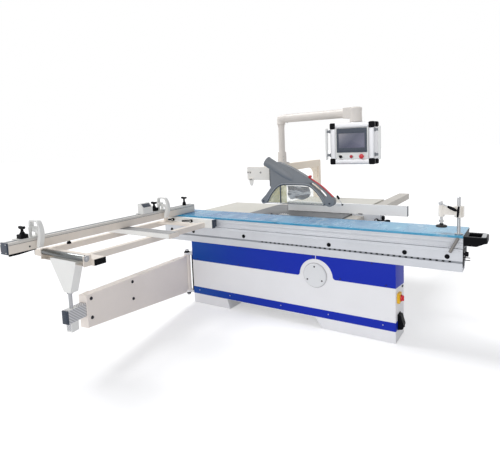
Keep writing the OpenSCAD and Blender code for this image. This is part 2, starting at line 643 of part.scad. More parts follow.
module stop_knob_2() color([0.07, 0.07, 0.08]) t_knob(s2y - 82, fz1 + 36, 58);

// T-knob that clamps the inner end of the fence
module fence_knob() color([0.07, 0.07, 0.08]) t_knob(fy1 - 110, fz1, 88);

// Tapered swing arm, hinged to the cabinet end
module swing_arm() color([0.91, 0.88, 0.82]) translate([hx, hy, 0]) rotate([0, 0, arm_a]) difference() {
    union() {
        ext_x(-arm_t / 2, arm_t / 2) polygon([[-92, 128], [-92, 484], [-arm_len, 531], [-arm_len, 290]]);
        bx(-14, 14, -98, 0, 128, 484);
        cz(0, 0, 128, 484, 30);
    }
    bx(-tele_w / 2 - slide_gap, tele_w / 2 + slide_gap, -arm_len - 1, -160, tz0 - slide_gap, tz1 + slide_gap);
    ext_x(-arm_t / 2 + wall, arm_t / 2 - wall) polygon([[-112, 140], [-112, 478], [-arm_len + 40, 522], [-arm_len + 40, 296]]);
    cz(0, 0, 100, 520, hinge_r + fit);
}

// Telescopic tube with a rest for the rod and a lower bracket
module tele_tube() color([0.90, 0.88, 0.84]) translate([hx, hy, 0]) rotate([0, 0, arm_a]) {
    difference() {
        bx(-tele_w / 2, tele_w / 2, -rod_d - 42, -480, tz0, tz1);
        bx(-tele_w / 2 + 4, tele_w / 2 - 4, -rod_d - 43, -479, tz0 + 4, tz1 - 4);
    }
    bx(-tele_w / 2, tele_w / 2, -rod_d - 52, -rod_d - 42, tz0, tz1);
    bx(-24, 24, -rod_d - 30, -rod_d + 30, tz0 - 68, tz0 + 1);
}

// Rip fence head: saddle on the rail, body in front and upright behind the bar
module rip_head() color([0.78, 0.79, 0.80]) {
    bx(rx0 + 8, rx1 + 4, rhy, rhy + 130, rz1 + slide_gap, H + 1);
    difference() {
        bx(rx1 + slide_gap, rx1 + 150, rhy, rhy + 130, rz0 + 20, H + 3);
        bx(rx1 + 8, rx1 + 144, rhy + 6, rhy + 124, rz0 + 19, H - 4);
    }
    bx(rx0 + 40, rx1 + 130, rhy + 46 + slide_gap, rhy + 72, H, H + 60);
    cy(rx1 + 120, rz0 + 40, rhy - 22, rhy + 1, 8);
}

// Rip fence bar
module rip_bar() color([0.86, 0.87, 0.88]) difference() {
    bx(-236, 939, rhy + 6, rhy + 46, H + 4, H + 95);
    for (z = [H + 10, H + 54]) bx(-237, 940, rhy + 11, rhy + 41, z, z + 36);
    bx(-237, 940, rhy + 40, rhy + 47, H + 26, H + 40);
}

// Clamp lever of the rip fence head
module rip_lever() color([0.07, 0.07, 0.08]) difference() {
    union() {
        cy(rx1 + 120, rz0 + 40, rhy - 20, rhy - 1, 16);
        bx(rx1 + 118, rx1 + 210, rhy - 17, rhy - 5, rz0 + 31, rz0 + 47);
        cx(rhy - 11, rz0 + 39, rx1 + 200, rx1 + 245, 12);
    }
    cy(rx1 + 120, rz0 + 40, rhy - 30, rhy, 8 + fit);
}

// Guard hood with its dust tube and guide channel
module hood() color([0.45, 0.47, 0.49]) difference() {
    union() {
        ext_y(blade_y - hw, blade_y + hw) polygon([[-385, 1008], [-378, 990], [-361, 984], [-336, 988], [-318, 1002], [-262, 1090], [-215, 1140], [-164, 1172], [110, 1176], [160, 1160], [215, 1105], [262, 1040], [278, 995], [300, 986], [340, 984], [368, 995], [378, 1021], [354, 1068], [250, 1160], [126, 1240], [20, 1300], [-61, 1342], [-190, 1394], [-240, 1386], [-276, 1340], [-276, 1140], [-300, 1112], [-332, 1072]]);
        translate([-322, blade_y, 1396]) rotate([0, 120.5, 0]) cylinder(h = 345, r = hood_port_r);
        bx(ggx - 30, -242, blade_y + hw - 12, gy0 - slide_gap, 1150, 1340);
    }
    ext_y(blade_y - hw + 4, blade_y + hw - 4) polygon([[-225, 1184], [-225, 1300], [-61, 1322], [100, 1232], [100, 1184]]);
    ext_y(blade_y - hw - 1, blade_y + hw + 1) polygon([[142, 1190], [182, 1184], [239, 1144], [299, 1083], [280, 1073], [224, 1134], [156, 1176]]);
    translate([-322, blade_y, 1396]) rotate([0, 120.5, 0]) translate([0, 0, -1]) cylinder(h = 200, r = hood_port_r - 4);
    bx(ggx - 9 - slide_gap, ggx + 9 + slide_gap, gy0 - 12, gy0 + 1, 1149, 1341);
    bx(ggx - 18 - slide_gap, ggx + 18 + slide_gap, gy0 - 16 - slide_gap, gy0 - 8 + slide_gap, 1149, 1341);
}

// Clear side panes of the guard
module hood_window() color([0.85, 0.88, 0.85, 0.4]) {
    for (y = [blade_y - hw - 3, blade_y + hw]) ext_y(y, y + 3) polygon([[-322, 992], [-270, 1098], [-220, 1148], [-166, 1182], [114, 1186], [166, 1168], [222, 1112], [270, 1046], [288, 992]]);
}

// Red edge strip and cap on the guard
module hood_strip() color([0.80, 0.10, 0.14]) {
    ext_y(blade_y - hw + 15, blade_y + hw - 15) polygon([[126, 1240], [250, 1160], [354, 1068], [359, 1073], [254, 1166], [130, 1246]]);
    translate([133, blade_y - hw + 6, 1252]) rotate([-90, 0, 0]) cylinder(h = hood_w - 12, r = 12);
}

// Pendant arm with its hub, tube, collar and head
module pendant_arm() color([0.88, 0.86, 0.83]) difference() {
    union() {
        cz(oxc, py, col_top + slide_gap, arm_z + 30, col_r + 10);
        translate([oxc, py, arm_z]) rotate([0, 0, parm_a]) {
            rotate([0, 90, 0]) cylinder(h = parm_l - 30, r = parm_r);
            translate([parm_l - 112, -48, -50]) cube([60, 96, 100]);
        }
        cz(hdx, hdy, pend_h - 74, pend_h + 56, 56);
        cz(hdx, hdy, pend_h + 55, pend_h + 64, 44);
    }
    cz(oxc, py, pend_h - 60, pend_h + 26, 22 + fit);
    cz(hdx, hdy, pend_h - 80, pend_h - 24, 20 + fit);
    translate([oxc, py, arm_z]) rotate([0, 0, parm_a]) translate([52, 0, 0]) rotate([0, 90, 0]) cylinder(h = parm_l - 170, r = parm_r - 4);
    cz(hdx, hdy, pend_h - 14, pend_h + 48, 48);
}

// Control box with pivot, side handles and bores for the controls
module control_box() color([0.86, 0.86, 0.87]) {
    difference() {
        tbox(bxl, bxr, by0, by1, bz0, bz1, 5);
        cy(bxl + 106, btn_z, by0 - 1, by0 + 6, 11 + fit);
        cy(bxl + 208, btn_z, by0 - 1, by0 + 6, 11 + fit);
        cy(bxl + 308, btn_z, by0 - 1, by0 + 6, 11 + fit);
    }
    cz(hdx, hdy, bz1 - 1, pend_h - 30, 20);
    for (x = [bxl - 40, bxr + 40]) {
        cz(x, by0 + 14, bz0 + 45, bz1 - 45, 11);
        for (z = [bz0 + 88, bz1 - 75]) bx(min(x, bxr - 1), max(x, bxl + 1), by0, by0 + 28, z - 15, z + 15);
    }
}

// Screen bezel
module screen_panel() color([0.20, 0.26, 0.33]) {
    bx(bxl + 67, bxl + 354, by0 - 6, by0, bz0 + 110, bz1 - 52);
}

// Emergency stop mushroom
module e_stop() color([0.85, 0.15, 0.18]) {
    cy(bxl + 308, btn_z, by0 - 18, by0 + 16, 11);
    translate([bxl + 308, by0 - 16, btn_z]) rotate([90, 0, 0]) cylinder(h = 18, r = 20);
}

// Start button
module start_button() color([0.72, 0.05, 0.12]) {
    cy(bxl + 208, btn_z, by0 - 9, by0 + 16, 11);
    cy(bxl + 208, btn_z, by0 - 14, by0 - 8, 15);
}

// Selector switch
module selector() color([0.07, 0.07, 0.08]) {
    cy(bxl + 106, btn_z, by0 - 2, by0 + 16, 11);
    cy(bxl + 106, btn_z, by0 - 12, by0 - 1, 14);
    translate([bxl + 106, by0 - 24, btn_z]) rotate([0, 40, 0]) translate([-16, 0, -5]) cube([32, 13, 10]);
}

// Tilt frame: two segments, yoke, lift columns and scoring housing
module tilt_frame() color([0.45, 0.47, 0.50]) translate([saw_x, 0, 0]) {
    for (x = [seg_x0, seg_x1]) translate([x, blade_y, H]) rotate([90, 0, 90]) rotate([0, 0, -90]) rotate_extrude(angle = 45, $fn = 96) translate([seg_r - 80, 0]) square([80, 34]);
    ya = blade_y + 12;
    for (s = [0, 1]) bx(s == 0 ? seg_x0 + 32 : 108, s == 0 ? lx + 2 : seg_x1 + 2, ya, blade_y + 375, az - 162.5, az - 132.5);
    bx(seg_x0 + 32, seg_x1 + 2, blade_y + 345, blade_y + 375, az - 162.5, az - 132.5);
    for (x = [-140, 140]) cz(x, blade_y + 55, az - 133.5, H - 46, column_r);
    difference() {
        union() {
            bx(sx - 16, sx + 16, blade_y + 40, blade_y + 90, az - 133.5, sz - 10);
            cy(sx, sz, blade_y + 14, blade_y + 100, 17.8);
        }
        cy(sx, sz, blade_y, blade_y + 120, 9 + fit);
    }
}

// Lift block on the columns, with arbor housing, motor arms and riving knife
module lift_block() color([0.50, 0.52, 0.55]) translate([saw_x, 0, 0]) {
    difference() {
        union() {
            bx(-75, 75, blade_y + 90, blade_y + 120, motor_z - 70, az + 20);
            cy(0, az, blade_y + 20, blade_y + 120, 36);
            bx(-168, 168, blade_y + 32, blade_y + 78, az - 72, az + 8);
            bx(-75, 75, blade_y + 70, blade_y + 100, az - 72, az + 8);
        }
        for (x = [-140, 140]) cz(x, blade_y + 55, az - 80, az + 20, column_r + fit);
        cy(0, az, blade_y, blade_y + 140, arbor_r + fit);
    }
    for (x = [-75, 63]) bx(x, x + 12, blade_y + 119, blade_y + 176, motor_z - 70, motor_z - 40);
    difference() {
        bx(-75, 75, blade_y + 164, blade_y + 176, motor_z - 70, motor_z + 70);
        cy(0, motor_z, blade_y + 160, blade_y + 180, 24);
    }
    ext_y(blade_y - 1.3, blade_y + 1.3) polygon([[-165, az - 70], [-178, az + 30], [-150, az + 120], [-128, az + 152], [-150, az + 155], [-190, az + 110], [-212, az + 30], [-205, az - 70]]);
    bx(-200, -166, blade_y + 1, blade_y + 33, az - 66, az - 40);
}

// Main blade with arbor, flange and pulley
module main_blade() color([0.70, 0.71, 0.73]) translate([saw_x, 0, 0]) {
    n = 48;
    ext_y(blade_y - 1.6, blade_y + 1.6) translate([0, az]) polygon([for (i = [0 : n - 1], k = [0, 1, 2]) let (a = (i + [0, 0.25, 0.3][k]) * 360 / n, r = blade_r - [0, 3, 10][k]) [r * cos(a), r * sin(a)]]);
    cy(0, az, blade_y - 14, blade_y - 1.5, 38);
    cy(0, az, blade_y + 1.5, blade_y + 18, 34);
    cy(0, az, blade_y + 1, blade_y + 156, arbor_r);
    cy(0, az, blade_y + 128, blade_y + 152, 35);
}

// Scoring blade with spindle and pulley
module scoring_blade() color([0.68, 0.69, 0.71]) translate([saw_x, 0, 0]) {
    n = 24;
    ext_y(blade_y - 1.6, blade_y + 1.6) translate([sx, sz]) polygon([for (i = [0 : n - 1], k = [0, 1, 2]) let (a = (i + [0, 0.25, 0.3][k]) * 360 / n, r = score_r - [0, 2, 6][k]) [r * cos(a), r * sin(a)]]);
    cy(sx, sz, blade_y - 10, blade_y - 1.5, 18);
    cy(sx, sz, blade_y + 1.5, blade_y + 12, 18);
    cy(sx, sz, blade_y + 1, blade_y + 126, 9);
    cy(sx, sz, blade_y + 104, blade_y + 124, 16);
}

// Main motor on the lift block
module saw_motors() color([0.30, 0.33, 0.36]) translate([saw_x, 0, 0]) {
    difference() {
        cy(0, motor_z, blade_y + 176, blade_y + 335, motor_r);
        for (i = [0:11]) rotate([0, 0, 0]) translate([0, 0, motor_z]) rotate([0, i * 30, 0]) bx(motor_r - 8, motor_r + 2, blade_y + 186, blade_y + 325, -6, 6);
    }
    cy(0, motor_z, blade_y + 126, blade_y + 178, 12);
    cy(0, motor_z, blade_y + 128, blade_y + 152, 40);
}

// Belt from the motor pulley to the arbor pulley
module drive_belt() color([0.05, 0.05, 0.06]) translate([saw_x, 0, 0]) difference() {
    hull() {
        cy(0, az, blade_y + 130, blade_y + 150, 40);
        cy(0, motor_z, blade_y + 130, blade_y + 150, 45);
    }
    hull() {
        cy(0, az, blade_y + 129, blade_y + 151, 35.4);
        cy(0, motor_z, blade_y + 129, blade_y + 151, 40.4);
    }
}

front_cabinet();
rear_body();
blue_panels();
round_cover();
panel_screws();
power_inlet();
slide_beam();
beam_plugs();
cast_table();
rear_table();
ext_table();
rip_rail();
overhead_frame();
guard_box();
pendant_column();
switch_knob();
lock_knob();
carriage();
roller_cage();
push_handle();
clamp_post();
clamp_arm();
clamp_lever();
clamp_spindle();
crosscut_mount();
mount_lever_1();
mount_lever_2();
crosscut_frame();
mid_bar();
support_bracket();
edge_roller();
crosscut_fence();
fence_extension();
stop_block_1();
stop_lever_1();
stop_knob_1();
stop_block_2();
stop_lever_2();
stop_knob_2();
fence_knob();
swing_arm();
tele_tube();
rip_head();
rip_bar();
rip_lever();
hood();
hood_window();
hood_strip();
pendant_arm();
control_box();
screen_panel();
e_stop();
start_button();
selector();
tilt_frame();
lift_block();
main_blade();
scoring_blade();
saw_motors();
drive_belt();
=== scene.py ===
"""Looks of a sliding table saw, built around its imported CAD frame.

Lengths in the piece code are millimetres in the CAD frame: +X runs along the
sliding table to the operator's end, +Y goes to the rip side and +Z is up.
"""

import json
import math

import bmesh
import bpy
from mathutils import Matrix, Vector


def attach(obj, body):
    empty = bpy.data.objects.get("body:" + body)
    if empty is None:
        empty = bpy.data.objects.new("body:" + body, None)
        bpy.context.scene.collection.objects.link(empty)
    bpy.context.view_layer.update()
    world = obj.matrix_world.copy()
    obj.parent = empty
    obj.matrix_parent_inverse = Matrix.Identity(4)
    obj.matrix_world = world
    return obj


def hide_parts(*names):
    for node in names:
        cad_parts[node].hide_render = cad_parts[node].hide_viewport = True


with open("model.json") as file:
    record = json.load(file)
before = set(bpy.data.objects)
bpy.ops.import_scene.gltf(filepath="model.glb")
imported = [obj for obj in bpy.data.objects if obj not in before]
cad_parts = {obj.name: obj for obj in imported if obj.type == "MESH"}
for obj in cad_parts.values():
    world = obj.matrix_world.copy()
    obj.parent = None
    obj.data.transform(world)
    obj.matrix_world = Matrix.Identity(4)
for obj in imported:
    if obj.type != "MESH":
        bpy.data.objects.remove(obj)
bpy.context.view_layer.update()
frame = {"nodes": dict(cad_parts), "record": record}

MM = 0.001
SHARP_ANGLE = math.radians(36)
UP, DOWN, RIGHT = (0, 0, 1), (0, 0, -1), (1, 0, 0)
NEAR, FAR = (0, -1, 0), (0, 1, 0)

# Main sizes of the frame
TABLE_Z = 880
BEAM_X0, BEAM_X1 = -1341, 1459
BEAM_Z0, BEAM_Z1 = 628, 788
BEAM_Y = -480
CARRIAGE_Z0 = 791
CARRIAGE_Y0, CARRIAGE_Y1 = -470, -120
CABINET_X0, CABINET_X1 = -1000, 1000
CABINET_Y0, CABINET_Y1 = -478, -230
BLADE_Y = -90
SHEET = 2
CLAMP_X, CLAMP_Y = 1424, -420
FENCE_X0, FENCE_X1 = -1235, -1155
FENCE_Y0, FENCE_Y1 = -2200, -230
FENCE_Z0, FENCE_Z1 = 882, 962
FENCE_MID = (FENCE_X0 + FENCE_X1) / 2
ROLLER_X0, ROLLER_X1, ROLLER_Y, ROLLER_Z = -1120, -645, -1968, 856
ROD = (-855, -1963)
ARM_HINGE = (-1058, -492)
ARM_TURN = math.atan2(ROD[0] - ARM_HINGE[0], ARM_HINGE[1] - ROD[1])
ARM_REACH = math.dist(ROD, ARM_HINGE)
HOOD_Y0, HOOD_Y1 = -118, -62
GUARD_BOX_Y = -24
DUST_MOUTH = (-322, BLADE_Y, 1396)
DUST_WAY = (0.8616, 0, -0.5075)
COLUMN = (-414, 390)
HEAD = (472, 205, 1812)
BOOM_Z = 1823
ARM_BEARING = math.atan2(HEAD[1] - COLUMN[1], HEAD[0] - COLUMN[0])
BOX_X0, BOX_X1 = 240, 662
BOX_Y0, BOX_Y1 = 140, 270
BOX_Z0, BOX_Z1 = 1348, 1733


def put(name, data):
    """Adds an object to the scene."""
    obj = bpy.data.objects.new(name, data)
    bpy.context.scene.collection.objects.link(obj)
    return obj


# ---------------- materials

ALONG_X, ALONG_Y, ALONG_Z = (0.02, 1, 1), (1, 0.02, 1), (1, 1, 0.02)
EDGE_RADIUS = 0.0016


def linear(red, green, blue):
    """Turns display values from 0 to 1 into the linear colour of a shader."""
    shown = (red, green, blue)
    return tuple(c / 12.92 if c <= 0.04045 else ((c + 0.055) / 1.055) ** 2.4 for c in shown) + (1.0,)


def shade(color, factor):
    """The linear colour, lighter or darker."""
    return tuple(min(1.0, c * factor) for c in color[:3]) + (1.0,)


class Graph:
    """A material and short calls to add and join its nodes; _ stands for a space in the name of an input."""

    def __init__(self, name):
        self.material = bpy.data.materials.new(name)
        self.material.use_nodes = True
        self.tree = self.material.node_tree
        self.shader = self.tree.nodes["Principled BSDF"]
        self.space = self.add("ShaderNodeTexCoord").outputs["Object"]

    def add(self, kind, links=(), **settings):
        node = self.tree.nodes.new(kind)
        for key, value in settings.items():
            if hasattr(node, key):
                setattr(node, key, value)
            else:
                node.inputs[key.replace("_", " ")].default_value = value
        for socket, source in dict(links).items():
            self.tree.links.new(source, node.inputs[socket])
        return node

    def to_shader(self, **inputs):
        for key, value in inputs.items():
            socket = self.shader.inputs[key.replace("_", " ")]
            if isinstance(value, bpy.types.NodeSocket):
                self.tree.links.new(value, socket)
            else:
                socket.default_value = value

    def stretched(self, scale):
        return self.add("ShaderNodeMapping", {"Vector": self.space}, Scale=scale).outputs["Vector"]

    def axes(self):
        return self.add("ShaderNodeSeparateXYZ", {"Vector": self.space}).outputs

    def noise(self, scale, detail, vector=None):
        links = {"Vector": vector or self.space}
        return self.add("ShaderNodeTexNoise", links, Scale=scale, Detail=detail, Roughness=0.55).outputs["Fac"]

    def ramp(self, fac, stops):
        node = self.add("ShaderNodeValToRGB", {"Fac": fac})
        line = node.color_ramp
        while len(line.elements) < len(stops):
            line.elements.new(0.5)
        for element, (place, color) in zip(line.elements, stops):
            element.position = place
            element.color = color
        return node.outputs["Color"]

    def spread(self, fac, low, high, out_low, out_high):
        limits = dict(From_Min=low, From_Max=high, To_Min=out_low, To_Max=out_high)
        return self.add("ShaderNodeMapRange", {"Value": fac}, **limits).outputs["Result"]

    def math(self, operation, a, b):
        return self.add("ShaderNodeMath", {0: a, 1: b}, operation=operation).outputs["Value"]

    def mix(self, fac, a, b):
        node = self.add("ShaderNodeMix", data_type="RGBA")
        self.tree.links.new(fac, node.inputs["Factor"])
        for socket, value in ((6, a), (7, b)):
            if isinstance(value, tuple):
                node.inputs[socket].default_value = value
            else:
                self.tree.links.new(value, node.inputs[socket])
        return node.outputs[2]

    def edges(self, radius):
        """Rounded normals, and a mask that is 1 along edges."""
        rounded = self.add("ShaderNodeBevel", samples=4, Radius=radius).outputs["Normal"]
        flat = self.add("ShaderNodeNewGeometry").outputs["Normal"]
        likeness = self.add("ShaderNodeVectorMath", {0: rounded, 1: flat}, operation="DOT_PRODUCT")
        return rounded, self.spread(likeness.outputs["Value"], 0.80, 0.995, 1.0, 0.0)

    def bump(self, height, strength, distance, normal):
        links = {"Height": height, "Normal": normal}
        node = self.add("ShaderNodeBump", links, Strength=strength, Distance=distance)
        self.to_shader(Normal=node.outputs["Normal"])


def surface(
    name,
    color,
    rough,
    metallic=0.0,
    mottle=0.05,
    mottle_scale=3.0,
    grain=(1, 1, 1),
    grain_scale=220.0,
    grain_depth=0.00012,
    rough_spread=0.08,
    edge_highlight=1.18,
    coat=0.0,
    specular=0.5,
):
    """Paint, plastic or metal: soft clouds in the colour, a grain in gloss and relief, and painted highlights
    along the edges.
    """
    g = Graph(name)
    clouds = g.noise(mottle_scale, 5.0)
    fine = g.noise(grain_scale, 6.0, g.stretched(grain))
    tone = g.ramp(clouds, [(0.32, shade(color, 1 - mottle)), (0.68, shade(color, 1 + mottle))])
    tone = g.mix(g.spread(fine, 0.3, 0.7, 0.0, 0.5 * mottle), tone, shade(color, 0.72))
    normal, mask = g.edges(EDGE_RADIUS)
    # painted highlight: the colour is lightened along the edges
    tone = g.mix(g.spread(mask, 0.0, 1.0, 0.0, 0.55), tone, shade(color, edge_highlight))
    gloss = g.spread(fine, 0.25, 0.75, rough - rough_spread, rough + rough_spread)
    g.to_shader(Base_Color=tone, Roughness=gloss, Metallic=metallic)
    g.to_shader(Coat_Weight=coat, Specular_IOR_Level=specular)
    g.bump(fine, 0.35, grain_depth, normal)
    return g.material


def drawn(grain, metallic, grain_depth=0.00008, **rest):
    """Settings of drawn aluminium with its grain along one axis."""
    return dict(grain=grain, metallic=metallic, grain_scale=380.0, grain_depth=grain_depth, **rest)


# Display colour, roughness, and the settings of surface() that differ from its defaults, among them how strong the
# painted edge highlights are
LOOKS = {
    "cabinet_paint": ((0.94, 0.94, 0.95), 0.42, dict(mottle=0.02)),
    # disc paint, a little darker than the cabinet's, with stronger painted highlights on its edges
    "cover_paint": ((0.895, 0.90, 0.91), 0.42, dict(mottle=0.02, edge_highlight=1.3)),
    "shade_grey": ((0.74, 0.735, 0.74), 0.5, dict(mottle=0.03)),
    "white_paint": ((0.95, 0.95, 0.94), 0.40, dict(mottle=0.02)),
    "cream_paint": ((0.925, 0.89, 0.85), 0.42, dict(mottle=0.03)),
    "grey_paint": ((0.81, 0.80, 0.765), 0.45, dict(mottle=0.03)),
    # lighter copy of cream_paint for the swing arm and its lips: painted light
    "arm_lit_cream": ((0.985, 0.95, 0.92), 0.42, dict(mottle=0.03)),
    "beige_paint": ((0.965, 0.915, 0.85), 0.42, dict(mottle=0.03)),
    # greyer, darker copy of cream_paint for the pendant and column: the darkening is painted shade
    "pendant_shaded_cream": ((0.875, 0.85, 0.825), 0.40, dict(mottle=0.03)),
    "warm_white": ((0.95, 0.93, 0.90), 0.40, dict(mottle=0.02)),
    "motor_paint": ((0.38, 0.41, 0.44), 0.45, dict(mottle=0.06)),
    "yellow_plastic": ((0.95, 0.74, 0.08), 0.38, dict(mottle=0.04)),
    "red_plastic": ((0.84, 0.10, 0.16), 0.30, dict(coat=0.3)),
    "deep_red": ((0.72, 0.02, 0.14), 0.28, dict(coat=0.3)),
    "black_plastic": (
        (0.025, 0.03, 0.05),
        0.42,
        dict(mottle=0.10, edge_highlight=2.2, grain_scale=500.0, specular=0.10),
    ),
    "dark_plastic": ((0.16, 0.21, 0.28), 0.30, dict(mottle=0.06, coat=0.2, edge_highlight=1.6)),
    "grey_plastic": ((0.49, 0.505, 0.525), 0.45, dict(grain_scale=420.0, edge_highlight=1.25)),
    "white_plastic": ((0.93, 0.93, 0.92), 0.36, dict(mottle=0.02)),
    "rim_grey": ((0.60, 0.615, 0.64), 0.40, dict(mottle=0.04, edge_highlight=1.3)),
    "grip_grey": ((0.66, 0.67, 0.68), 0.34, dict(coat=0.2)),
    "rubber": ((0.09, 0.09, 0.10), 0.7, dict(mottle=0.12, grain_scale=600.0, edge_highlight=1.6)),
    "aluminium": ((0.835, 0.845, 0.865), 0.42, drawn(ALONG_X, 0.35, rough_spread=0.12)),
    "aluminium_y": ((0.84, 0.84, 0.83), 0.40, drawn(ALONG_Y, 0.7, rough_spread=0.12)),
    "aluminium_z": ((0.90, 0.90, 0.91), 0.38, drawn(ALONG_Z, 0.55, 0.00006, mottle=0.03, rough_spread=0.10)),
    "bright_aluminium": ((0.97, 0.97, 0.97), 0.36, drawn(ALONG_X, 0.08, 0.00006, mottle=0.02)),
    "grey_aluminium": ((0.67, 0.67, 0.675), 0.40, drawn(ALONG_X, 0.4)),
    "fence_aluminium": ((0.86, 0.845, 0.825), 0.42, drawn(ALONG_Y, 0.12)),
    "rail_grey": ((0.74, 0.72, 0.69), 0.42, drawn(ALONG_Y, 0.25, mottle=0.04)),
    "roller_steel": ((0.46, 0.47, 0.47), 0.16, dict(metallic=1.0, grain=ALONG_X, rough_spread=0.05)),
    "worn_steel": ((0.50, 0.49, 0.48), 0.36, dict(metallic=0.75, mottle=0.10, grain=ALONG_Z, grain_scale=420.0)),
    "steel": ((0.74, 0.745, 0.755), 0.32, dict(metallic=0.95, mottle=0.08, grain=ALONG_Z, grain_scale=420.0)),
    "dark_steel": ((0.20, 0.20, 0.22), 0.36, dict(metallic=0.7, mottle=0.1, edge_highlight=2.0)),
    "chrome": ((0.80, 0.80, 0.80), 0.14, dict(metallic=1.0, mottle=0.03, grain=ALONG_X, rough_spread=0.05)),
    "cast_iron": (
        (0.47, 0.475, 0.485),
        0.60,
        dict(metallic=0.2, mottle=0.10, mottle_scale=7.0, grain=ALONG_X, grain_scale=520.0, rough_spread=0.12),
    ),
}


def clear_pane():
    """Thin clear plastic with a yellow tint and faint wipe marks."""
    g = Graph("clear_plastic")
    wipes = g.noise(9.0, 5.0, g.stretched((0.35, 1, 1)))
    tone = g.ramp(wipes, [(0.35, (0.90, 0.90, 0.70, 1)), (0.65, (0.96, 0.96, 0.88, 1))])
    g.to_shader(Base_Color=tone, Roughness=g.spread(wipes, 0.3, 0.7, 0.03, 0.16))
    g.to_shader(Alpha=g.spread(wipes, 0.3, 0.75, 0.06, 0.16), Specular_IOR_Level=0.5, Coat_Weight=0.3)
    return g.material


def yellow_tint():
    """Aged yellow film inside the rear half of the pane, with cloudy streaks."""
    g = Graph("yellow_tint")
    clouds = g.noise(14.0, 5.0, g.stretched((1, 1, 0.6)))
    tone = g.ramp(clouds, [(0.35, linear(0.66, 0.64, 0.42)), (0.65, linear(0.84, 0.82, 0.64))])
    g.to_shader(Base_Color=tone, Alpha=g.spread(clouds, 0.3, 0.7, 0.85, 0.50))
    g.to_shader(Roughness=g.spread(clouds, 0.3, 0.7, 0.2, 0.4))
    return g.material


def smoked():
    """Dark inner baffle seen through the pane, with pale wavy streaks."""
    g = Graph("smoked")
    waves = g.noise(22.0, 3.0, g.stretched((0.45, 1, 1.5)))
    stops = [(0.40, linear(0.30, 0.30, 0.36)), (0.52, linear(0.40, 0.40, 0.46)), (0.66, linear(0.72, 0.73, 0.76))]
    g.to_shader(Base_Color=g.ramp(waves, stops), Roughness=g.spread(waves, 0.3, 0.7, 0.15, 0.35))
    return g.material


def blue_sheet():
    """Blue paint, greener at the far end and deeper at the operator's end, with soft clouds and painted highlights
    along the edges.
    """
    g = Graph("blue_paint")
    along = g.spread(g.axes()["X"], CABINET_X0 * MM, 0.25, 0.0, 1.0)
    place = g.math("ADD", along, g.spread(g.noise(1.4, 4.0), 0.3, 0.7, -0.12, 0.12))
    stops = [(0.0, linear(0.03, 0.28, 0.63)), (0.5, linear(0.03, 0.19, 0.66)), (1.0, linear(0.04, 0.16, 0.69))]
    fine = g.noise(220.0, 6.0)
    normal, mask = g.edges(EDGE_RADIUS)
    # painted highlight: the blue turns paler along the edges
    tone = g.mix(g.spread(mask, 0.0, 1.0, 0.0, 0.4), g.ramp(place, stops), linear(0.20, 0.36, 0.74))
    g.to_shader(Base_Color=tone, Roughness=g.spread(fine, 0.25, 0.75, 0.36, 0.50), Specular_IOR_Level=0.22)
    g.bump(fine, 0.35, 0.0001, normal)
    return g.material


def hatched():
    """Pale grey wrap with a faint slanted hatch and soft clouds."""
    g = Graph("hatched")
    links = {"Vector": g.stretched((1, 1, 1))}
    lines = g.add("ShaderNodeTexWave", links, bands_direction="DIAGONAL", Scale=30.0, Distortion=0.3)
    clouds = g.noise(9.0, 4.0)
    tone = g.ramp(lines.outputs["Fac"], [(0.40, linear(0.70, 0.70, 0.71)), (0.62, linear(0.85, 0.85, 0.86))])
    tone = g.mix(g.spread(clouds, 0.35, 0.7, 0.0, 0.25), tone, linear(0.80, 0.81, 0.83))
    g.to_shader(Base_Color=tone, Roughness=g.spread(clouds, 0.3, 0.7, 0.35, 0.5))
    return g.material


def film():
    """Blue protective film: deep at the far end, pale at the near end, with folds, glare and clear patches."""
    g = Graph("table_film")
    axes = g.axes()
    folds = g.noise(5.5, 6.0, g.stretched((1.0, 0.35, 1)))
    along = g.spread(axes["X"], BEAM_X0 * MM, BEAM_X1 * MM, 0.0, 1.0)
    fade = g.math("ADD", along, g.spread(folds, 0.3, 0.7, -0.26, 0.26))
    stops = [(0.00, linear(0.30, 0.60, 0.75)), (0.20, linear(0.12, 0.43, 0.64)), (0.42, linear(0.20, 0.49, 0.68))]
    stops += [(0.62, linear(0.38, 0.60, 0.75)), (1.00, linear(0.52, 0.72, 0.83))]
    tone = g.ramp(fade, stops)
    rim = g.spread(axes["Y"], (CARRIAGE_Y0 + 4) * MM, (CARRIAGE_Y0 + 70) * MM, 0.75, 0.0)
    tone = g.mix(rim, tone, linear(0.24, 0.62, 0.78))
    ripples_and_glare = g.noise(12.0, 4.0, g.stretched((1, 0.5, 1)))
    # painted glare: near-white streaks where the ripples catch the light; the same noise also bumps the film
    tone = g.mix(g.spread(ripples_and_glare, 0.56, 0.74, 0.0, 0.35), tone, linear(0.90, 0.97, 0.99))
    patches = g.noise(11.0, 5.0, g.stretched((0.7, 1.2, 1)))
    tone = g.mix(g.spread(patches, 0.58, 0.74, 0.0, 0.30), tone, linear(0.08, 0.24, 0.42))
    g.to_shader(Base_Color=tone, Roughness=g.spread(folds, 0.3, 0.7, 0.16, 0.38))
    g.to_shader(Specular_IOR_Level=0.25, Coat_Weight=0.04, Coat_Roughness=0.12)
    normal, _ = g.edges(0.0008)
    g.bump(ripples_and_glare, 0.3, 0.001, normal)
    return g.material


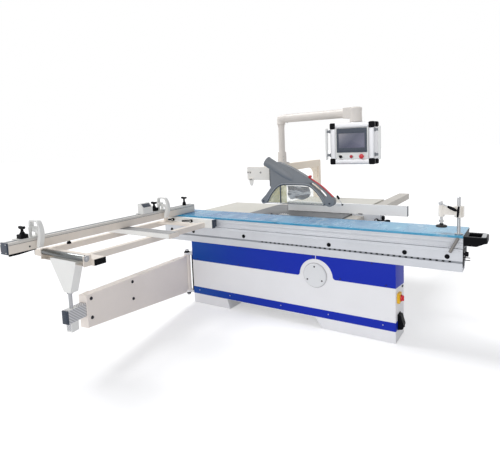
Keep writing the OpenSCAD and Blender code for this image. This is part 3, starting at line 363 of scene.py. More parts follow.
def display():
    """Unlit touch screen: a grey-lilac sheen that runs from a pale left corner, with dust."""
    g = Graph("display")
    axes = g.axes()
    sheen = g.spread(g.math("SUBTRACT", axes["X"], axes["Z"]), -1.31, -0.98, 0.0, 1.0)
    stops = [(0.0, linear(0.58, 0.57, 0.60)), (0.35, linear(0.40, 0.41, 0.47))]
    stops += [(0.6, linear(0.33, 0.34, 0.42)), (1.0, linear(0.44, 0.44, 0.52))]
    dust = g.noise(140.0, 5.0)
    tone = g.mix(g.spread(dust, 0.55, 0.8, 0.0, 0.25), g.ramp(sheen, stops), linear(0.75, 0.75, 0.78))
    g.to_shader(Base_Color=tone, Roughness=g.spread(dust, 0.3, 0.7, 0.12, 0.26))
    return g.material


MATERIAL = {name: surface(name, linear(*shown), rough, **rest) for name, (shown, rough, rest) in LOOKS.items()}
MATERIAL.update(clear_plastic=clear_pane(), yellow_tint=yellow_tint(), smoked=smoked(), film=film())
MATERIAL.update(blue_paint=blue_sheet(), hatched=hatched(), display=display())

# CAD nodes that look different from the material of their slot
NODE_MATERIAL = {
    "round_cover": "cover_paint",
    "rip_rail": "rail_grey",
    "crosscut_fence": "fence_aluminium",
    "guard_box": "warm_white",
    "main_blade": "bright_aluminium",
    "stop_block_1": "aluminium_y",
    "stop_block_2": "aluminium_y",
    "mid_bar": "grey_aluminium",
    "clamp_spindle": "dark_steel",
    "roller_cage": "steel",
    "rip_bar": "bright_aluminium",
    "tele_tube": "hatched",
    "swing_arm": "arm_lit_cream",
    "overhead_frame": "beige_paint",
    "pendant_column": "pendant_shaded_cream",
}

for part in frame["record"]["subparts"]:
    node = frame["nodes"][part["node"]]
    chosen = NODE_MATERIAL.get(part["node"], part["material_slot"])
    node.data.materials.clear()
    node.data.materials.append(MATERIAL[chosen])


# ---------------- mesh tools


def arc(cx, cz, radius, start, end, steps):
    """Points on a circle, with angles in degrees."""
    turns = [math.radians(start + (end - start) * i / steps) for i in range(steps + 1)]
    return [(cx + radius * math.cos(a), cz + radius * math.sin(a)) for a in turns]


def ring(cx, cz, radius, steps=32):
    """A closed circle of points."""
    return arc(cx, cz, radius, 0, 360, steps)[:-1]


def rounded(x0, x1, y0, y1, radius, steps=6):
    """A rectangle with round corners."""
    return (
        arc(x1 - radius, y1 - radius, radius, 0, 90, steps)
        + arc(x0 + radius, y1 - radius, radius, 90, 180, steps)
        + arc(x0 + radius, y0 + radius, radius, 180, 270, steps)
        + arc(x1 - radius, y0 + radius, radius, 270, 360, steps)
    )


def smooth_line(points, steps, closed=False):
    """Points on a Catmull-Rom curve through the given ones."""
    n = len(points)
    out = []
    for i in range(n if closed else n - 1):
        a, b, c, d = (
            Vector(points[(i + k) % n if closed else min(max(i + k, 0), n - 1)]) for k in (-1, 0, 1, 2)
        )
        square, cube = 2 * a - 5 * b + 4 * c - d, 3 * b - a - 3 * c + d
        for t in (s / steps for s in range(steps)):
            out.append(tuple(0.5 * (2 * b + (c - a) * t + square * t * t + cube * t**3)))
    if not closed:
        out.append(tuple(points[-1]))
    return out


def circle(around):
    """Cosine and sine at even steps of a full turn."""
    turns = [2 * math.pi * k / around for k in range(around)]
    return [(math.cos(a), math.sin(a)) for a in turns]


# Where a flat point (a, b) at depth d lies, for shapes drawn out along each axis
TO_SPACE = {
    "x": lambda p, d: (d, p[0], p[1]),
    "y": lambda p, d: (p[0], d, p[1]),
    "z": lambda p, d: (p[0], p[1], d),
}


class Piece:
    """Shapes in millimetres, gathered into one mesh."""

    def __init__(self):
        self.bm = bmesh.new()

    def _take(self, part, bevel=0, segments=1):
        bmesh.ops.recalc_face_normals(part, faces=part.faces)
        if bevel:
            sharp = [e for e in part.edges if len(e.link_faces) == 2 and e.calc_face_angle(0) > SHARP_ANGLE]
            rim = dict(offset=bevel, segments=segments, profile=0.7, affect="EDGES", clamp_overlap=True)
            bmesh.ops.bevel(part, geom=sharp, **rim)
        mesh = bpy.data.meshes.new("part")
        part.to_mesh(mesh)
        part.free()
        self.bm.from_mesh(mesh)
        bpy.data.meshes.remove(mesh)
        return self

    def box(self, x0, x1, y0, y1, z0, z1, bevel=1.0, segments=2, turn=None):
        part = bmesh.new()
        made = bmesh.ops.create_cube(part, size=1.0)
        place = Matrix.Translation(((x0 + x1) / 2, (y0 + y1) / 2, (z0 + z1) / 2))
        size = Matrix.Diagonal((x1 - x0, y1 - y0, z1 - z0, 1.0))
        bmesh.ops.transform(part, matrix=(turn or Matrix.Identity(4)) @ place @ size, verts=made["verts"])
        return self._take(part, bevel, segments)

    def prism(self, axis, outline, start, end, bevel=1.0, segments=2):
        """A flat outline drawn out along an axis: pairs are (y, z), (x, z) or (x, y) for x, y and z."""
        part = bmesh.new()
        low, high = ([part.verts.new(TO_SPACE[axis](p, d)) for p in outline] for d in (start, end))
        part.faces.new(low)
        part.faces.new(high)
        for i in range(len(outline)):
            j = (i + 1) % len(outline)
            part.faces.new((low[i], low[j], high[j], high[i]))
        return self._take(part, bevel, segments)

    def panel(self, axis, outline, holes, start, end, bevel=1.0, segments=2):
        """A flat outline with holes in it, drawn out along an axis."""
        part = bmesh.new()
        at = TO_SPACE[axis]
        edges = []
        for line in [outline, *holes]:
            rim = [part.verts.new(at(p, start)) for p in line]
            edges += [part.edges.new(pair) for pair in zip(rim, rim[1:] + rim[:1])]
        filled = bmesh.ops.triangle_fill(part, edges=edges, use_beauty=True)["geom"]
        faces = [g for g in filled if isinstance(g, bmesh.types.BMFace)]
        grown = bmesh.ops.extrude_face_region(part, geom=faces)["geom"]
        moved = [g for g in grown if isinstance(g, bmesh.types.BMVert)]
        bmesh.ops.translate(part, vec=at((0, 0), end - start), verts=moved)
        return self._take(part, bevel, segments)

    def lathe(self, origin, direction, profile, around=32):
        """Turns (radius, height) pairs about a line; radius 0 closes an end."""
        part = bmesh.new()
        to_world = Matrix.Translation(origin) @ Vector(direction).to_track_quat("Z", "Y").to_matrix().to_4x4()
        rings = []
        for radius, height in profile:
            spots = circle(around) if radius else [(0, 0)]
            rings.append([part.verts.new(to_world @ Vector((radius * c, radius * s, height))) for c, s in spots])
        for low, high in zip(rings, rings[1:]):
            for k in range(around):
                m = (k + 1) % around
                if len(low) == 1:
                    part.faces.new((low[0], high[k], high[m]))
                elif len(high) == 1:
                    part.faces.new((low[k], low[m], high[0]))
                else:
                    part.faces.new((low[k], low[m], high[m], high[k]))
        return self._take(part)

    def rod(self, start, end, radius, bevel=1.0):
        start, end = Vector(start), Vector(end)
        length = (end - start).length
        rim = min(bevel, radius * 0.4)
        foot = [(0, 0), (radius - rim, 0), (radius, rim)]
        return self.lathe(start, end - start, foot + [(r, length - h) for r, h in reversed(foot)], 24)

    def screw(self, place, direction, radius, height=None):
        """A round head with a hexagon socket."""
        h = height or radius * 0.7
        socket = radius * 0.5
        profile = [(radius, 0), (radius, h * 0.7), (radius * 0.86, h)]
        profile += [(socket, h), (socket, h * 0.35), (0, h * 0.35)]
        return self.lathe(place, direction, profile, 18)

    def sweep(self, path, radius, around=16):
        """A round bar along a line of points."""
        part = bmesh.new()
        points = [Vector(p) for p in path]
        rings = []
        side = None
        for i, p in enumerate(points):
            ahead = (points[min(i + 1, len(points) - 1)] - points[max(i - 1, 0)]).normalized()
            if side is None:
                side = ahead.orthogonal().normalized()
            side = (side - ahead * side.dot(ahead)).normalized()
            other = ahead.cross(side)
            size = radius[i] if isinstance(radius, (list, tuple)) else radius
            rings.append([part.verts.new(p + size * (c * side + s * other)) for c, s in circle(around)])
        for low, high in zip(rings, rings[1:]):
            for k in range(around):
                m = (k + 1) % around
                part.faces.new((low[k], low[m], high[m], high[k]))
        part.faces.new(rings[0])
        part.faces.new(rings[-1])
        return self._take(part)

    def done(self, name, body, material, *replaces, slot=None):
        """Makes the object; the slot argument has no effect."""
        bmesh.ops.scale(self.bm, vec=(MM, MM, MM), verts=self.bm.verts)
        mesh = bpy.data.meshes.new(name)
        self.bm.to_mesh(mesh)
        self.bm.free()
        for polygon in mesh.polygons:
            polygon.use_smooth = True
        mesh.set_sharp_from_angle(angle=SHARP_ANGLE)
        mesh.materials.append(MATERIAL[material])
        obj = put(name, mesh)
        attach(obj, body)
        slot or material
        if replaces:
            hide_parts(*replaces)


# ---------------- cabinet and beam


def add_cladding():
    """Blue sheets on the cabinet: two upper panels around the arch, the lower strip and their end returns."""
    low, top = BEAM_Z0 - 190, BEAM_Z0
    strip_low, strip_top = 96, 166
    arch_x, arch_z, arch_r, foot, slit = 345, 446, 150, 24, 3
    rise = math.degrees(math.asin((low + foot - arch_z) / arch_r))
    reach = arch_r * math.cos(math.radians(rise))
    slit_turn = math.degrees(math.asin(slit / arch_r))
    front, back, end = CABINET_Y0 - SHEET, CABINET_Y0, CABINET_X1 + SHEET
    curve = arc(arch_x + reach + foot, low + foot, foot, 270, 180, 8)
    curve += arc(arch_x, arch_z, arch_r, rise, 90 - slit_turn, 28)
    mirrored = [(2 * arch_x - x, z) for x, z in curve]
    p = Piece()
    for edge, line, side in ((end, curve, 1), (CABINET_X0, mirrored, -1)):
        p.prism("y", [(edge, low)] + line + [(arch_x + side * slit, top), (edge, top)], front, back, 0.5)
    fall = [(back, low), (back, top), (CABINET_Y1, top), (CABINET_Y1, low - 25)]
    p.prism("x", fall, CABINET_X1, end, 0.5)
    p.box(CABINET_X0, end, front, back, strip_low, strip_top, 0.5)
    p.box(CABINET_X1, end, front, back + 54, strip_low, strip_top, 0.5)
    p.done("blue_cladding", "base", "blue_paint", "blue_panels")


def add_panel_screws():
    """Screws of the round cover and the blue panels, and a grey ring of painted shadow round the cover's foot."""
    cover_x, cover_z = 338, 456
    # painted shadow: a grey ring round the cover's foot stands for the shadow gap
    foot = [(101.2, 0), (107, 0), (107, 2), (105, 4), (101.2, 4)]
    shadow_ring = Piece().lathe((cover_x, CABINET_Y0, cover_z), NEAR, foot, 72)
    shadow_ring.done("cover_shadow_ring", "base", "shade_grey", slot="grey_plastic")
    dark, light = Piece(), Piece()
    for turn in (90, 210, 330):
        x, z = arc(cover_x, cover_z, 76, turn, turn, 1)[0]
        dark.screw((x, CABINET_Y0 - 14, z), NEAR, 7, 4)
    upper = [(x, 455) for x in (-930, -440, 60, 560, 930)] + [(x, 614) for x in (-440, 320, 820)]
    for x, z in upper:
        dark.screw((x, CABINET_Y0 - SHEET, z), NEAR, 5, 3)
    dark.done("panel_screws_dark", "base", "dark_steel", "panel_screws", slot="steel")
    for x in (-924, -555, 0, 450, 903):
        light.screw((x, CABINET_Y0 - SHEET, 135), NEAR, 5, 3)
    light.done("panel_screws_light", "base", "steel", "panel_screws")


def add_switch():
    """Yellow housing with its red turning knob, and the black mains inlet below."""
    x, y, z, half, cut, thick = CABINET_X1, -400, 345, 40, 9, 20
    corner = [(half, half - cut), (half - cut, half), (cut - half, half), (-half, half - cut)]
    outline = [(y + a, z + b) for a, b in corner] + [(y - a, z - b) for a, b in corner]
    plate = Piece().prism("x", outline, x, x + thick - 2, 3, 3)
    plate.lathe((x + thick - 3, y, z), RIGHT, [(33, 0), (33, 2), (30, 4), (26, 4), (26, 0)], 40)
    plate.done("switch_plate", "base", "yellow_plastic", "power_inlet")
    knob = Piece()
    knob.lathe((x + thick + 0.5, y, z), RIGHT, [(0, 0), (25, 0), (26, 3), (25, 9), (21, 12), (0, 12)], 40)
    knob.box(x + thick + 11, x + thick + 24, y - 7, y + 7, z - 21, z + 21, 4, 3)
    knob.done("switch_grip", "main_switch", "red_plastic", "switch_knob")

    y, low, top, slant = -385, 88, 210, Vector((0.5, 0, -0.87))
    socket = Vector((x + 22, y, 120))
    outline = [(x, low), (x, top), (x + 22, top), (x + 44, 132), (x + 36, low + 10)]
    inlet = Piece().prism("y", outline, y - 35, y + 35, 5, 3)
    inlet.lathe(socket, slant, [(14, -14), (21, -4), (21, 15), (18, 18), (14, 18), (14, 3), (0, 3)], 36)
    inlet.box(x, x + 5, y - 40, y + 40, 104, 216, 2)
    inlet.box(x, x + 6, -292, -258, 394, 406, 2)
    inlet.done("mains_inlet", "base", "black_plastic", "power_inlet")
    pins = Piece()
    for turn in (0, 120, 240):
        a = math.radians(turn)
        start = socket + Vector((6 * math.sin(a), 7 * math.cos(a), 4 * math.sin(a)))
        pins.rod(start, start + 14 * slant, 2)
    pins.rod(socket, socket + 16 * slant, 3).done("inlet_pins", "base", "steel")


def add_hinge_bolts():
    """Bolt ends and washers of the swing arm's hinge pin, and a black strip of painted shadow in the gap at the
    cabinet edge.
    """
    bolts, nuts = Piece(), Piece()
    for z, up in ((510, 1), (104, -1)):
        washer = [(30, 0), (30, 5), (21, 5), (21, 15), (16, 18), (0, 18)]
        bolts.lathe((*ARM_HINGE, z), (0, 0, up), washer, 24)
        nuts.lathe((*ARM_HINGE, z + 18 * up), (0, 0, up), [(19, 0), (19, 9), (14, 13), (0, 13)], 6)
    # painted shadow: a black strip fills the gap between the hinge and the cabinet edge
    bolts.box(CABINET_X0 - 14, CABINET_X0 + 1, CABINET_Y0 - 1, CABINET_Y0 + 8, 118, 496, 1)
    bolts.done("hinge_bolts", "base", "black_plastic", slot="steel")
    nuts.done("hinge_nuts", "base", "steel")


def add_beam_trim():
    """Light lip over the flat face of the beam, the toothed strip in its groove and the end cap."""
    Piece().box(BEAM_X0, BEAM_X1, BEAM_Y - 2.5, BEAM_Y + 1, 763, 776, 1.2, 3).done("beam_lip", "base", "aluminium")
    bed = Piece().box(BEAM_X0 + 1, BEAM_X1 - 1, BEAM_Y + 4, BEAM_Y + 10, 687.5, 701.5, 0.3)
    bed.done("beam_strip_bed", "base", "rim_grey", slot="aluminium")
    strip = Piece()
    pitch, tooth, first, last = 43, 16, -180, 1440
    for x in range(first, last - pitch, pitch):
        strip.box(x, x + tooth, BEAM_Y - 1, BEAM_Y + 9, 690, 699, 0.8, 1)
    strip.done("beam_strip", "base", "black_plastic")
    cap = Piece().box(BEAM_X1, BEAM_X1 + 4, BEAM_Y + 2, -420, 660, BEAM_Z1 - 2, 1.5)
    cap.done("beam_end_cap", "base", "black_plastic")


def add_lock_knob():
    """Fluted knob on the end of the beam."""
    x, y, z = BEAM_X1 + 13, -462, 755
    flutes, points = 8, 96
    rim = []
    for k in range(points):
        a = 2 * math.pi * k / points
        radius = 16.4 + 1.1 * math.cos(flutes * a)
        rim.append((y + radius * math.cos(a), z + radius * math.sin(a)))
    p = Piece().prism("x", rim, x, x + 21, 2, 2)
    p.rod((BEAM_X1 + 1, y, z), (x + 1, y, z), 8)
    p.lathe((x + 20, y, z), RIGHT, [(11, 0), (10, 2), (0, 2.6)])
    p.done("lock_grip", "beam_lock", "black_plastic", "lock_knob")


# ---------------- sliding table


def add_carriage():
    """Extruded table profile with a slotted top, a grooved side with fine lines, and black end caps."""
    y0, y1, z0, top = CARRIAGE_Y0, CARRIAGE_Y1, CARRIAGE_Z0, TABLE_Z
    race_y0, race_y1, race_top = -400, -330, CARRIAGE_Z0 + 14

    def fine(*heights):
        notch = ((0, -1.5), (1.4, -0.9), (1.4, 0.9), (0, 1.5))
        return [(y0 + a, z + b) for z in heights for a, b in notch]

    slot = [(y0, z0 + 39), (y0 + 6.2, z0 + 39), (y0 + 6.2, z0 + 49), (y0, z0 + 49)]
    side = [(y0, z0)] + fine(797, 812, 822) + slot + fine(846, 851, 856, 861, 866, 871) + [(y0, top)]
    y = CLAMP_Y
    top_slot = [(y - 6, top), (y - 6, top - 6), (y - 12, top - 6), (y - 12, top - 16)]
    top_slot += [(2 * y - a, b) for a, b in reversed(top_slot)]
    far = [(y1, top), (y1, top - 6), (y1 - 83, z0)]
    race = [(race_y1, z0), (race_y1, race_top), (race_y0, race_top), (race_y0, z0)]
    p = Piece().prism("x", side + top_slot + far + race, BEAM_X0, BEAM_X1, 0.5, 1)
    p.done("carriage_profile", "sliding_table", "aluminium", "carriage")
    caps = Piece()
    rim = [(y0 + 2, z0 + 2), (y0 + 2, top - 3), (y1 - 8, top - 3), (y1 - 82, z0 + 2), (race_y1 + 2, z0 + 2)]
    rim += [(race_y1 + 2, race_top + 2), (race_y0 - 2, race_top + 2), (race_y0 - 2, z0 + 2)]
    for x in (BEAM_X0 - 3, BEAM_X1):
        caps.prism("x", rim, x, x + 3, 1)
    caps.done("carriage_caps", "sliding_table", "black_plastic")
    bar = Piece().rod((1430, -482, 868), (1378, -498, 764), 11, bevel=3)
    bar.done("table_lock_bar", "sliding_table", "worn_steel", slot="steel")


def add_film():
    """Protective film over the table top, turned down at the near edge."""
    y0, y1, hem, over, under = CARRIAGE_Y0, CARRIAGE_Y1 + 1, 866, TABLE_Z + 1.2, TABLE_Z + 0.3
    sheet = [(y0 - 1.4, hem), (y0 - 1.4, over), (y1, over), (y1, under), (y0 - 0.4, under), (y0 - 0.4, hem)]
    p = Piece().prism("x", sheet, BEAM_X0, BEAM_X1, 0.3, 1)
    p.done("table_film", "sliding_table", "film", slot="clear_plastic")


def add_push_handle():
    """Moulded handle with a tray behind its grip and a light plate over the grip."""
    x, y0, y1, top, floor = BEAM_X1, -468, -290, TABLE_Z - 3, TABLE_Z - 40
    tray_x1, grip = x + 112, x + 148
    base = [(x, top - 65), (x + 83, top - 65), (x + 138, floor - 2), (x, floor - 2)]
    p = Piece().prism("y", base, y0, y1, 5, 3)
    outer = arc(grip - 26, y0 + 30, 26, 300, 360, 6) + arc(grip - 26, y1 - 30, 26, 0, 60, 6)
    outer = [(x, y0), (grip - 30, y0)] + outer + [(grip - 30, y1), (x, y1)]
    tray = [(x + 28, y0 + 32), (tray_x1, y0 + 32), (tray_x1, y1 - 32), (x + 28, y1 - 32)]
    p.panel("z", outer, [tray], floor - 6, top, 6, 3)
    p.done("push_handle_body", "sliding_table", "black_plastic", "push_handle")
    plate = Piece().box(tray_x1 - 2, grip - 10, y0 + 20, y1 - 20, top - 5, top + 1, 4, 3)
    plate.done("push_handle_plate", "sliding_table", "grip_grey", "push_handle", slot="grey_plastic")


def add_hold_down():
    """Knurled post, cast arm, hand lever and spindle of the workpiece clamp."""
    x, y, z, spindle_x = CLAMP_X, CLAMP_Y, TABLE_Z, CLAMP_X - 113
    profile = [(0, 0), (26, 0), (27, 2), (27, 8), (24, 10), (12.2, 10)]
    for h in range(14, 262, 4):
        profile += [(12.2, h), (11.3, h + 1.3), (11.3, h + 2.2), (12.2, h + 3.4)]
    profile += [(12.2, 266), (9, 270), (0, 270)]
    post = Piece().lathe((x, y, z), UP, profile, 28)
    post.box(x - 20, x + 20, y - 5.5, y + 5.5, z - 7, z + 1, 0.5)
    post.box(x - 20, x + 20, y - 11, y + 11, z - 14, z - 7, 0.5)
    post.done("clamp_column", "sliding_table", "steel", "clamp_post")

    arm = Piece().panel("z", ring(x, y, 28, 40), [ring(x, y, 12.6, 40)], z + 125, z + 205, 2.5, 2)
    arm.box(spindle_x + 4, x - 20, y - 17, y + 17, z + 140, z + 198, 3, 3)
    arm.box(x + 25, x + 33, y - 24, y + 24, z + 130, z + 204, 2)
    arm.panel("z", ring(spindle_x, y, 21), [ring(spindle_x, y, 9.2)], z + 125, z + 205, 2.5, 2)
    arm.box(spindle_x - 11, spindle_x + 11, y - 26, y - 15, z + 178, z + 238, 3)
    arm.done("clamp_bracket", "hold_down", "warm_white", "clamp_arm", slot="white_paint")
    tee = Piece().rod((x, y - 26, 1046), (x, y - 44, 1046), 8)
    bar = [(x - 2, y - 48, 1012), (x, y - 50, 1030), (x + 2, y - 50, 1060), (x + 6, y - 48, 1088)]
    tee.sweep(bar, [6, 8, 8, 6]).done("clamp_sleeve_lever", "hold_down", "black_plastic")

    hub, half = Vector((spindle_x, y - 39, z + 226)), Vector((0, 12, 0))
    lean = math.radians(116)
    along = Vector((math.sin(lean), 0, math.cos(lean)))
    lever = Piece().rod(hub + half, hub - half, 13, bevel=2).rod(hub, hub + along * 58, 5)
    lever.done("clamp_lever_shank", "hold_down_lever", "steel", "clamp_lever")
    swell = [(0, 0), (6, 0), (8, 4), (11, 22), (11.5, 46), (9, 60), (5, 66), (0, 67)]
    grip = Piece().lathe(hub + along * 50, along, swell, 28)
    grip.done("clamp_lever_grip", "hold_down_lever", "black_plastic", "clamp_lever")

    rod = Piece().rod((spindle_x, y, z + 58), (spindle_x, y, z + 222), 9, bevel=2)
    rod.lathe((spindle_x, y, z + 84), UP, [(9, 0), (15, 0), (15, 16), (9, 16)], 6)
    rod.done("clamp_rod", "hold_down_spindle", "chrome", "clamp_spindle")
    foot = [(0, 0), (36, 0), (38, 2), (38, 9), (35, 13), (14, 15), (13, 26), (9, 28)]
    pad = Piece().lathe((spindle_x, y, z + 48), UP, foot, 36)
    pad.done("clamp_pad", "hold_down_spindle", "rubber", "clamp_spindle")


# ---------------- crosscut table


def add_mount_levers():
    """Clamp levers of the mounting box, each a hub with a swelling hand lever, and the box's end cap."""
    y, z = -541, TABLE_Z - 35
    for number, x, length in ((1, -1177, 74), (2, -942, 112)):
        p = Piece().panel("y", ring(x, z, 15), [ring(x, z, 7.1)], y - 11, y + 10, 2, 2)
        line = [(12, 0), (0.45 * length, 1), (0.78 * length, 4), (length - 1, 6)]
        path = smooth_line([(x - a, y - 3, z - b) for a, b in line], 5)
        last = len(path) - 1
        p.sweep(path, [6.5 + 2.5 * (i / last) for i in range(last)] + [7])
        p.done(f"table_lever_grip_{number}", f"table_lever_{number}", "black_plastic", f"mount_lever_{number}")
    cap = Piece().box(-692, -682, -531, -489, 787, 869, 2.5, 2)
    cap.box(-691, -683, -490, CARRIAGE_Y0 - 0.6, 797, 867, 1.5)
    cap.done("mount_end_cap", "crosscut_table", "dark_plastic")


def add_frame_trim():
    """Caps of the frame tubes, roller nuts and tray, the rod's nut and the dressing of the middle bar."""
    outer, inner, low, high = -1930, -1836, 800, 844
    caps, nuts, bar = Piece(), Piece(), Piece()
    for x, side in ((-1302, -1), (-608, 1)):
        caps.box(*sorted((x, x + 7 * side)), outer + 1, inner - 1, low + 1, high - 1, 2)
    caps.done("frame_caps", "crosscut_table", "black_plastic")
    for x, side in ((ROLLER_X0 - 9, -1), (ROLLER_X1 + 9, 1)):
        nut = [(21, 0), (21, 4), (14, 4), (14, 10), (9, 11), (8, 14), (0, 14)]
        nuts.lathe((x, ROLLER_Y, ROLLER_Z), (side, 0, 0), nut, 24)
    nuts.rod((*ROD, 476), (*ROD, 597), 13)
    nuts.lathe((*ROD, 581), UP, [(13, 0), (21, 0), (21, 15), (13, 15)], 6)
    nuts.done("frame_nuts", "crosscut_table", "steel")
    x0, x1, y0, y1 = -1322, -588, -1224, -1110
    for x in (x0 - 5, x1):
        bar.box(x, x + 5, y0 + 1, y1 - 1, 839, TABLE_Z - 3, 1)
    bar.done("mid_bar_caps", "crosscut_table", "cream_paint")
    face = Piece().box(x0 + 1, x1 - 1, y0 - 1.5, y0, 839, TABLE_Z - 3, 0.5)
    face.done("mid_bar_face", "crosscut_table", "white_paint")
    tray = Piece().box(ROLLER_X0 - 1, ROLLER_X1, outer - 60, outer + 1, 808, 810, 0.6)
    tray.done("roller_tray", "crosscut_table", "cream_paint")


def add_roller():
    """Edge roller with its axle ends."""
    radius, length = 22, ROLLER_X1 - ROLLER_X0
    half = [(0, -8), (8, -8), (8, 0), (radius - 5, 0), (radius - 1, 1), (radius, 3)]
    profile = half + [(a, length - b) for a, b in reversed(half)]
    p = Piece().lathe((ROLLER_X0, ROLLER_Y, ROLLER_Z), RIGHT, profile, 48)
    p.done("roller_tube", "roller", "roller_steel", "edge_roller", slot="chrome")


def add_fence():
    """Painted near face, end trim, a dark strip of painted shade over the top slots, outer cap with screws and the
    clamp lever below the outer end.
    """
    x0, x1, y0, y1, z0, z1 = FENCE_X0, FENCE_X1, FENCE_Y0, FENCE_Y1, FENCE_Z0, FENCE_Z1
    face = Piece().box(x1 - 0.5, x1 + 1.5, y0 + 1, y1, z0 + 1, z0 + 60, 0.6)
    face.box(x0 - 1, x1 + 1.5, y1 - 1, y1 + 3, z0 + 1, z1 - 1, 1.2)
    face.done("fence_face", "mitre_fence", "cream_paint")
    dark = Piece().box(x1 - 0.5, x1 + 0.6, y0 + 1, y1 - 2, z0 + 61, z0 + 63, 0.3, 1)
    dark.screw((x1 + 1.5, y0 + 150, z0 + 26), RIGHT, 6)
    dark.done("fence_line", "mitre_fence", "dark_steel", slot="steel")
    # painted shade: a dark strip over the slots in the fence top
    groove = Piece().box(x0 + 22, x0 + 50, y0 + 1, y1 - 2, z1 - 1, z1 + 0.3, 0.2, 1)
    groove.done("fence_groove_shade", "mitre_fence", "motor_paint", slot="grey_plastic")
    cap = Piece().box(x0 - 2, x1 + 2, y0 - 12, y0 - 1, z0 - 1, z1 + 2, 3, 3)
    cap.box(FENCE_MID - 10.5, FENCE_MID + 10.5, y0 - 2, y0 + 1400, z0 + 16.5, z1 - 14.5, 0.6)
    cap.done("extension_profile", "extension", "dark_plastic", "fence_extension")
    screws = Piece()
    for z in (z0 + 12, z1 - 10):
        for x in (x0 + 10, x1 - 10):
            screws.screw((x, y0 - 12, z), NEAR, 4.5)
    screws.done("extension_screws", "extension", "steel")
    blade = [(y0 + 4, z0 - 1), (y0 + 200, z0 - 1), (y0 + 200, z0 - 6), (y0 + 70, z0 - 16), (y0 + 4, z0 - 16)]
    lever = Piece().prism("x", blade, x1 - 16, x1 - 2, 2, 2)
    lever.done("fence_under_lever", "mitre_fence", "black_plastic")
    foot = [(0, 0), (17, 0), (17, 12), (10, 18), (10, 30), (0, 30)]
    Piece().lathe((FENCE_MID, -1709, 851), UP, foot, 24).done("fence_foot", "mitre_fence", "black_plastic")


def add_stops():
    """Two flip stops, each with a block, a ring-shaped lever and a T-knob; a third knob and the scale reader."""
    mid, top = FENCE_MID, FENCE_Z1
    pivot = mid + 2, top + 58

    def knob(name, body, node, y, z, height, foot=8):
        stem = [(0, -10), (5, -10), (5, 0.6), (19, 0.6), (20, 4), (18, foot), (12, foot + 10), (9.5, foot + 18)]
        p = Piece().lathe((mid, y, z), UP, stem + [(9.5, height - 12), (0, height - 12)])
        bar = [(-33, -8), (-28, 0), (0, -2), (28, 0), (33, -8), (26, -19), (0, -21), (-26, -19)]
        bar = smooth_line([(mid + a, z + height + b) for a, b in bar], 4, closed=True)
        p.prism("y", bar, y - 9, y + 9, 3, 3).done(name, body, "black_plastic", node)

    loop = [(-22, 46), (-20, 118), (10, 127), (60, 127), (84, 120), (108, 80), (116, 36), (108, -10), (86, -64)]
    loop += [(58, -66), (64, -30), (80, 20), (66, 36), (20, 44)]
    gap = [(-10, 76), (-9, 109), (14, 116), (58, 116), (74, 110), (88, 78), (92, 54), (60, 56), (24, 66), (8, 78)]
    loop, gap = (smooth_line([(mid + a, top + b) for a, b in line], 5, closed=True) for line in (loop, gap))
    bore = ring(*pivot, 6.1, 24)
    for number, y in ((1, -1990), (2, -690)):
        lever = Piece().panel("y", loop, [gap, bore], y - 17, y + 17, 3, 3)
        lever.panel("y", ring(*pivot, 14), [bore], y - 18.5, y + 18.5, 1)
        names = f"flip_lever_{number}", f"flip_{number}", "white_plastic", f"stop_lever_{number}"
        lever.done(*names, slot="white_paint")
        knob(f"stop_knob_grip_{number}", f"knob_{number}", f"stop_knob_{number}", y - 82, top + 36, 58)
        base = Piece().box(mid - 29, mid + 29, y - 110, y - 54, top + 7, top + 36.4, 4, 3)
        base.done(f"stop_base_{number}", f"stop_{number}", "black_plastic")
    knob("fence_knob_grip", "knob_3", "fence_knob", FENCE_Y1 - 110, top, 88, 26)

    y0, y1, back, brow, front = -960, -838, FENCE_X0 + 16, FENCE_X0 + 47, FENCE_X1 + 8
    foot, rim, crown = top + 6, top + 57, top + 100
    outline = [(back, foot), (front, foot), (front, rim), (brow, crown), (back, crown)]
    reader = Piece().prism("y", outline, y0, y1, 4, 3)
    reader.done("reader_case", "stop_2", "white_plastic", slot="white_paint")
    turn = Matrix.Rotation(math.atan2(crown - rim, front - brow), 4, "Y")
    tilt = Matrix.Translation(((front + brow) / 2, (y0 + y1) / 2, (rim + crown) / 2)) @ turn
    window = Piece().box(-21, 21, y0 / 2 - y1 / 2 + 14, y1 / 2 - y0 / 2 - 14, -2, 1.6, 1, 2, tilt)
    window.done("reader_window", "stop_2", "dark_plastic")


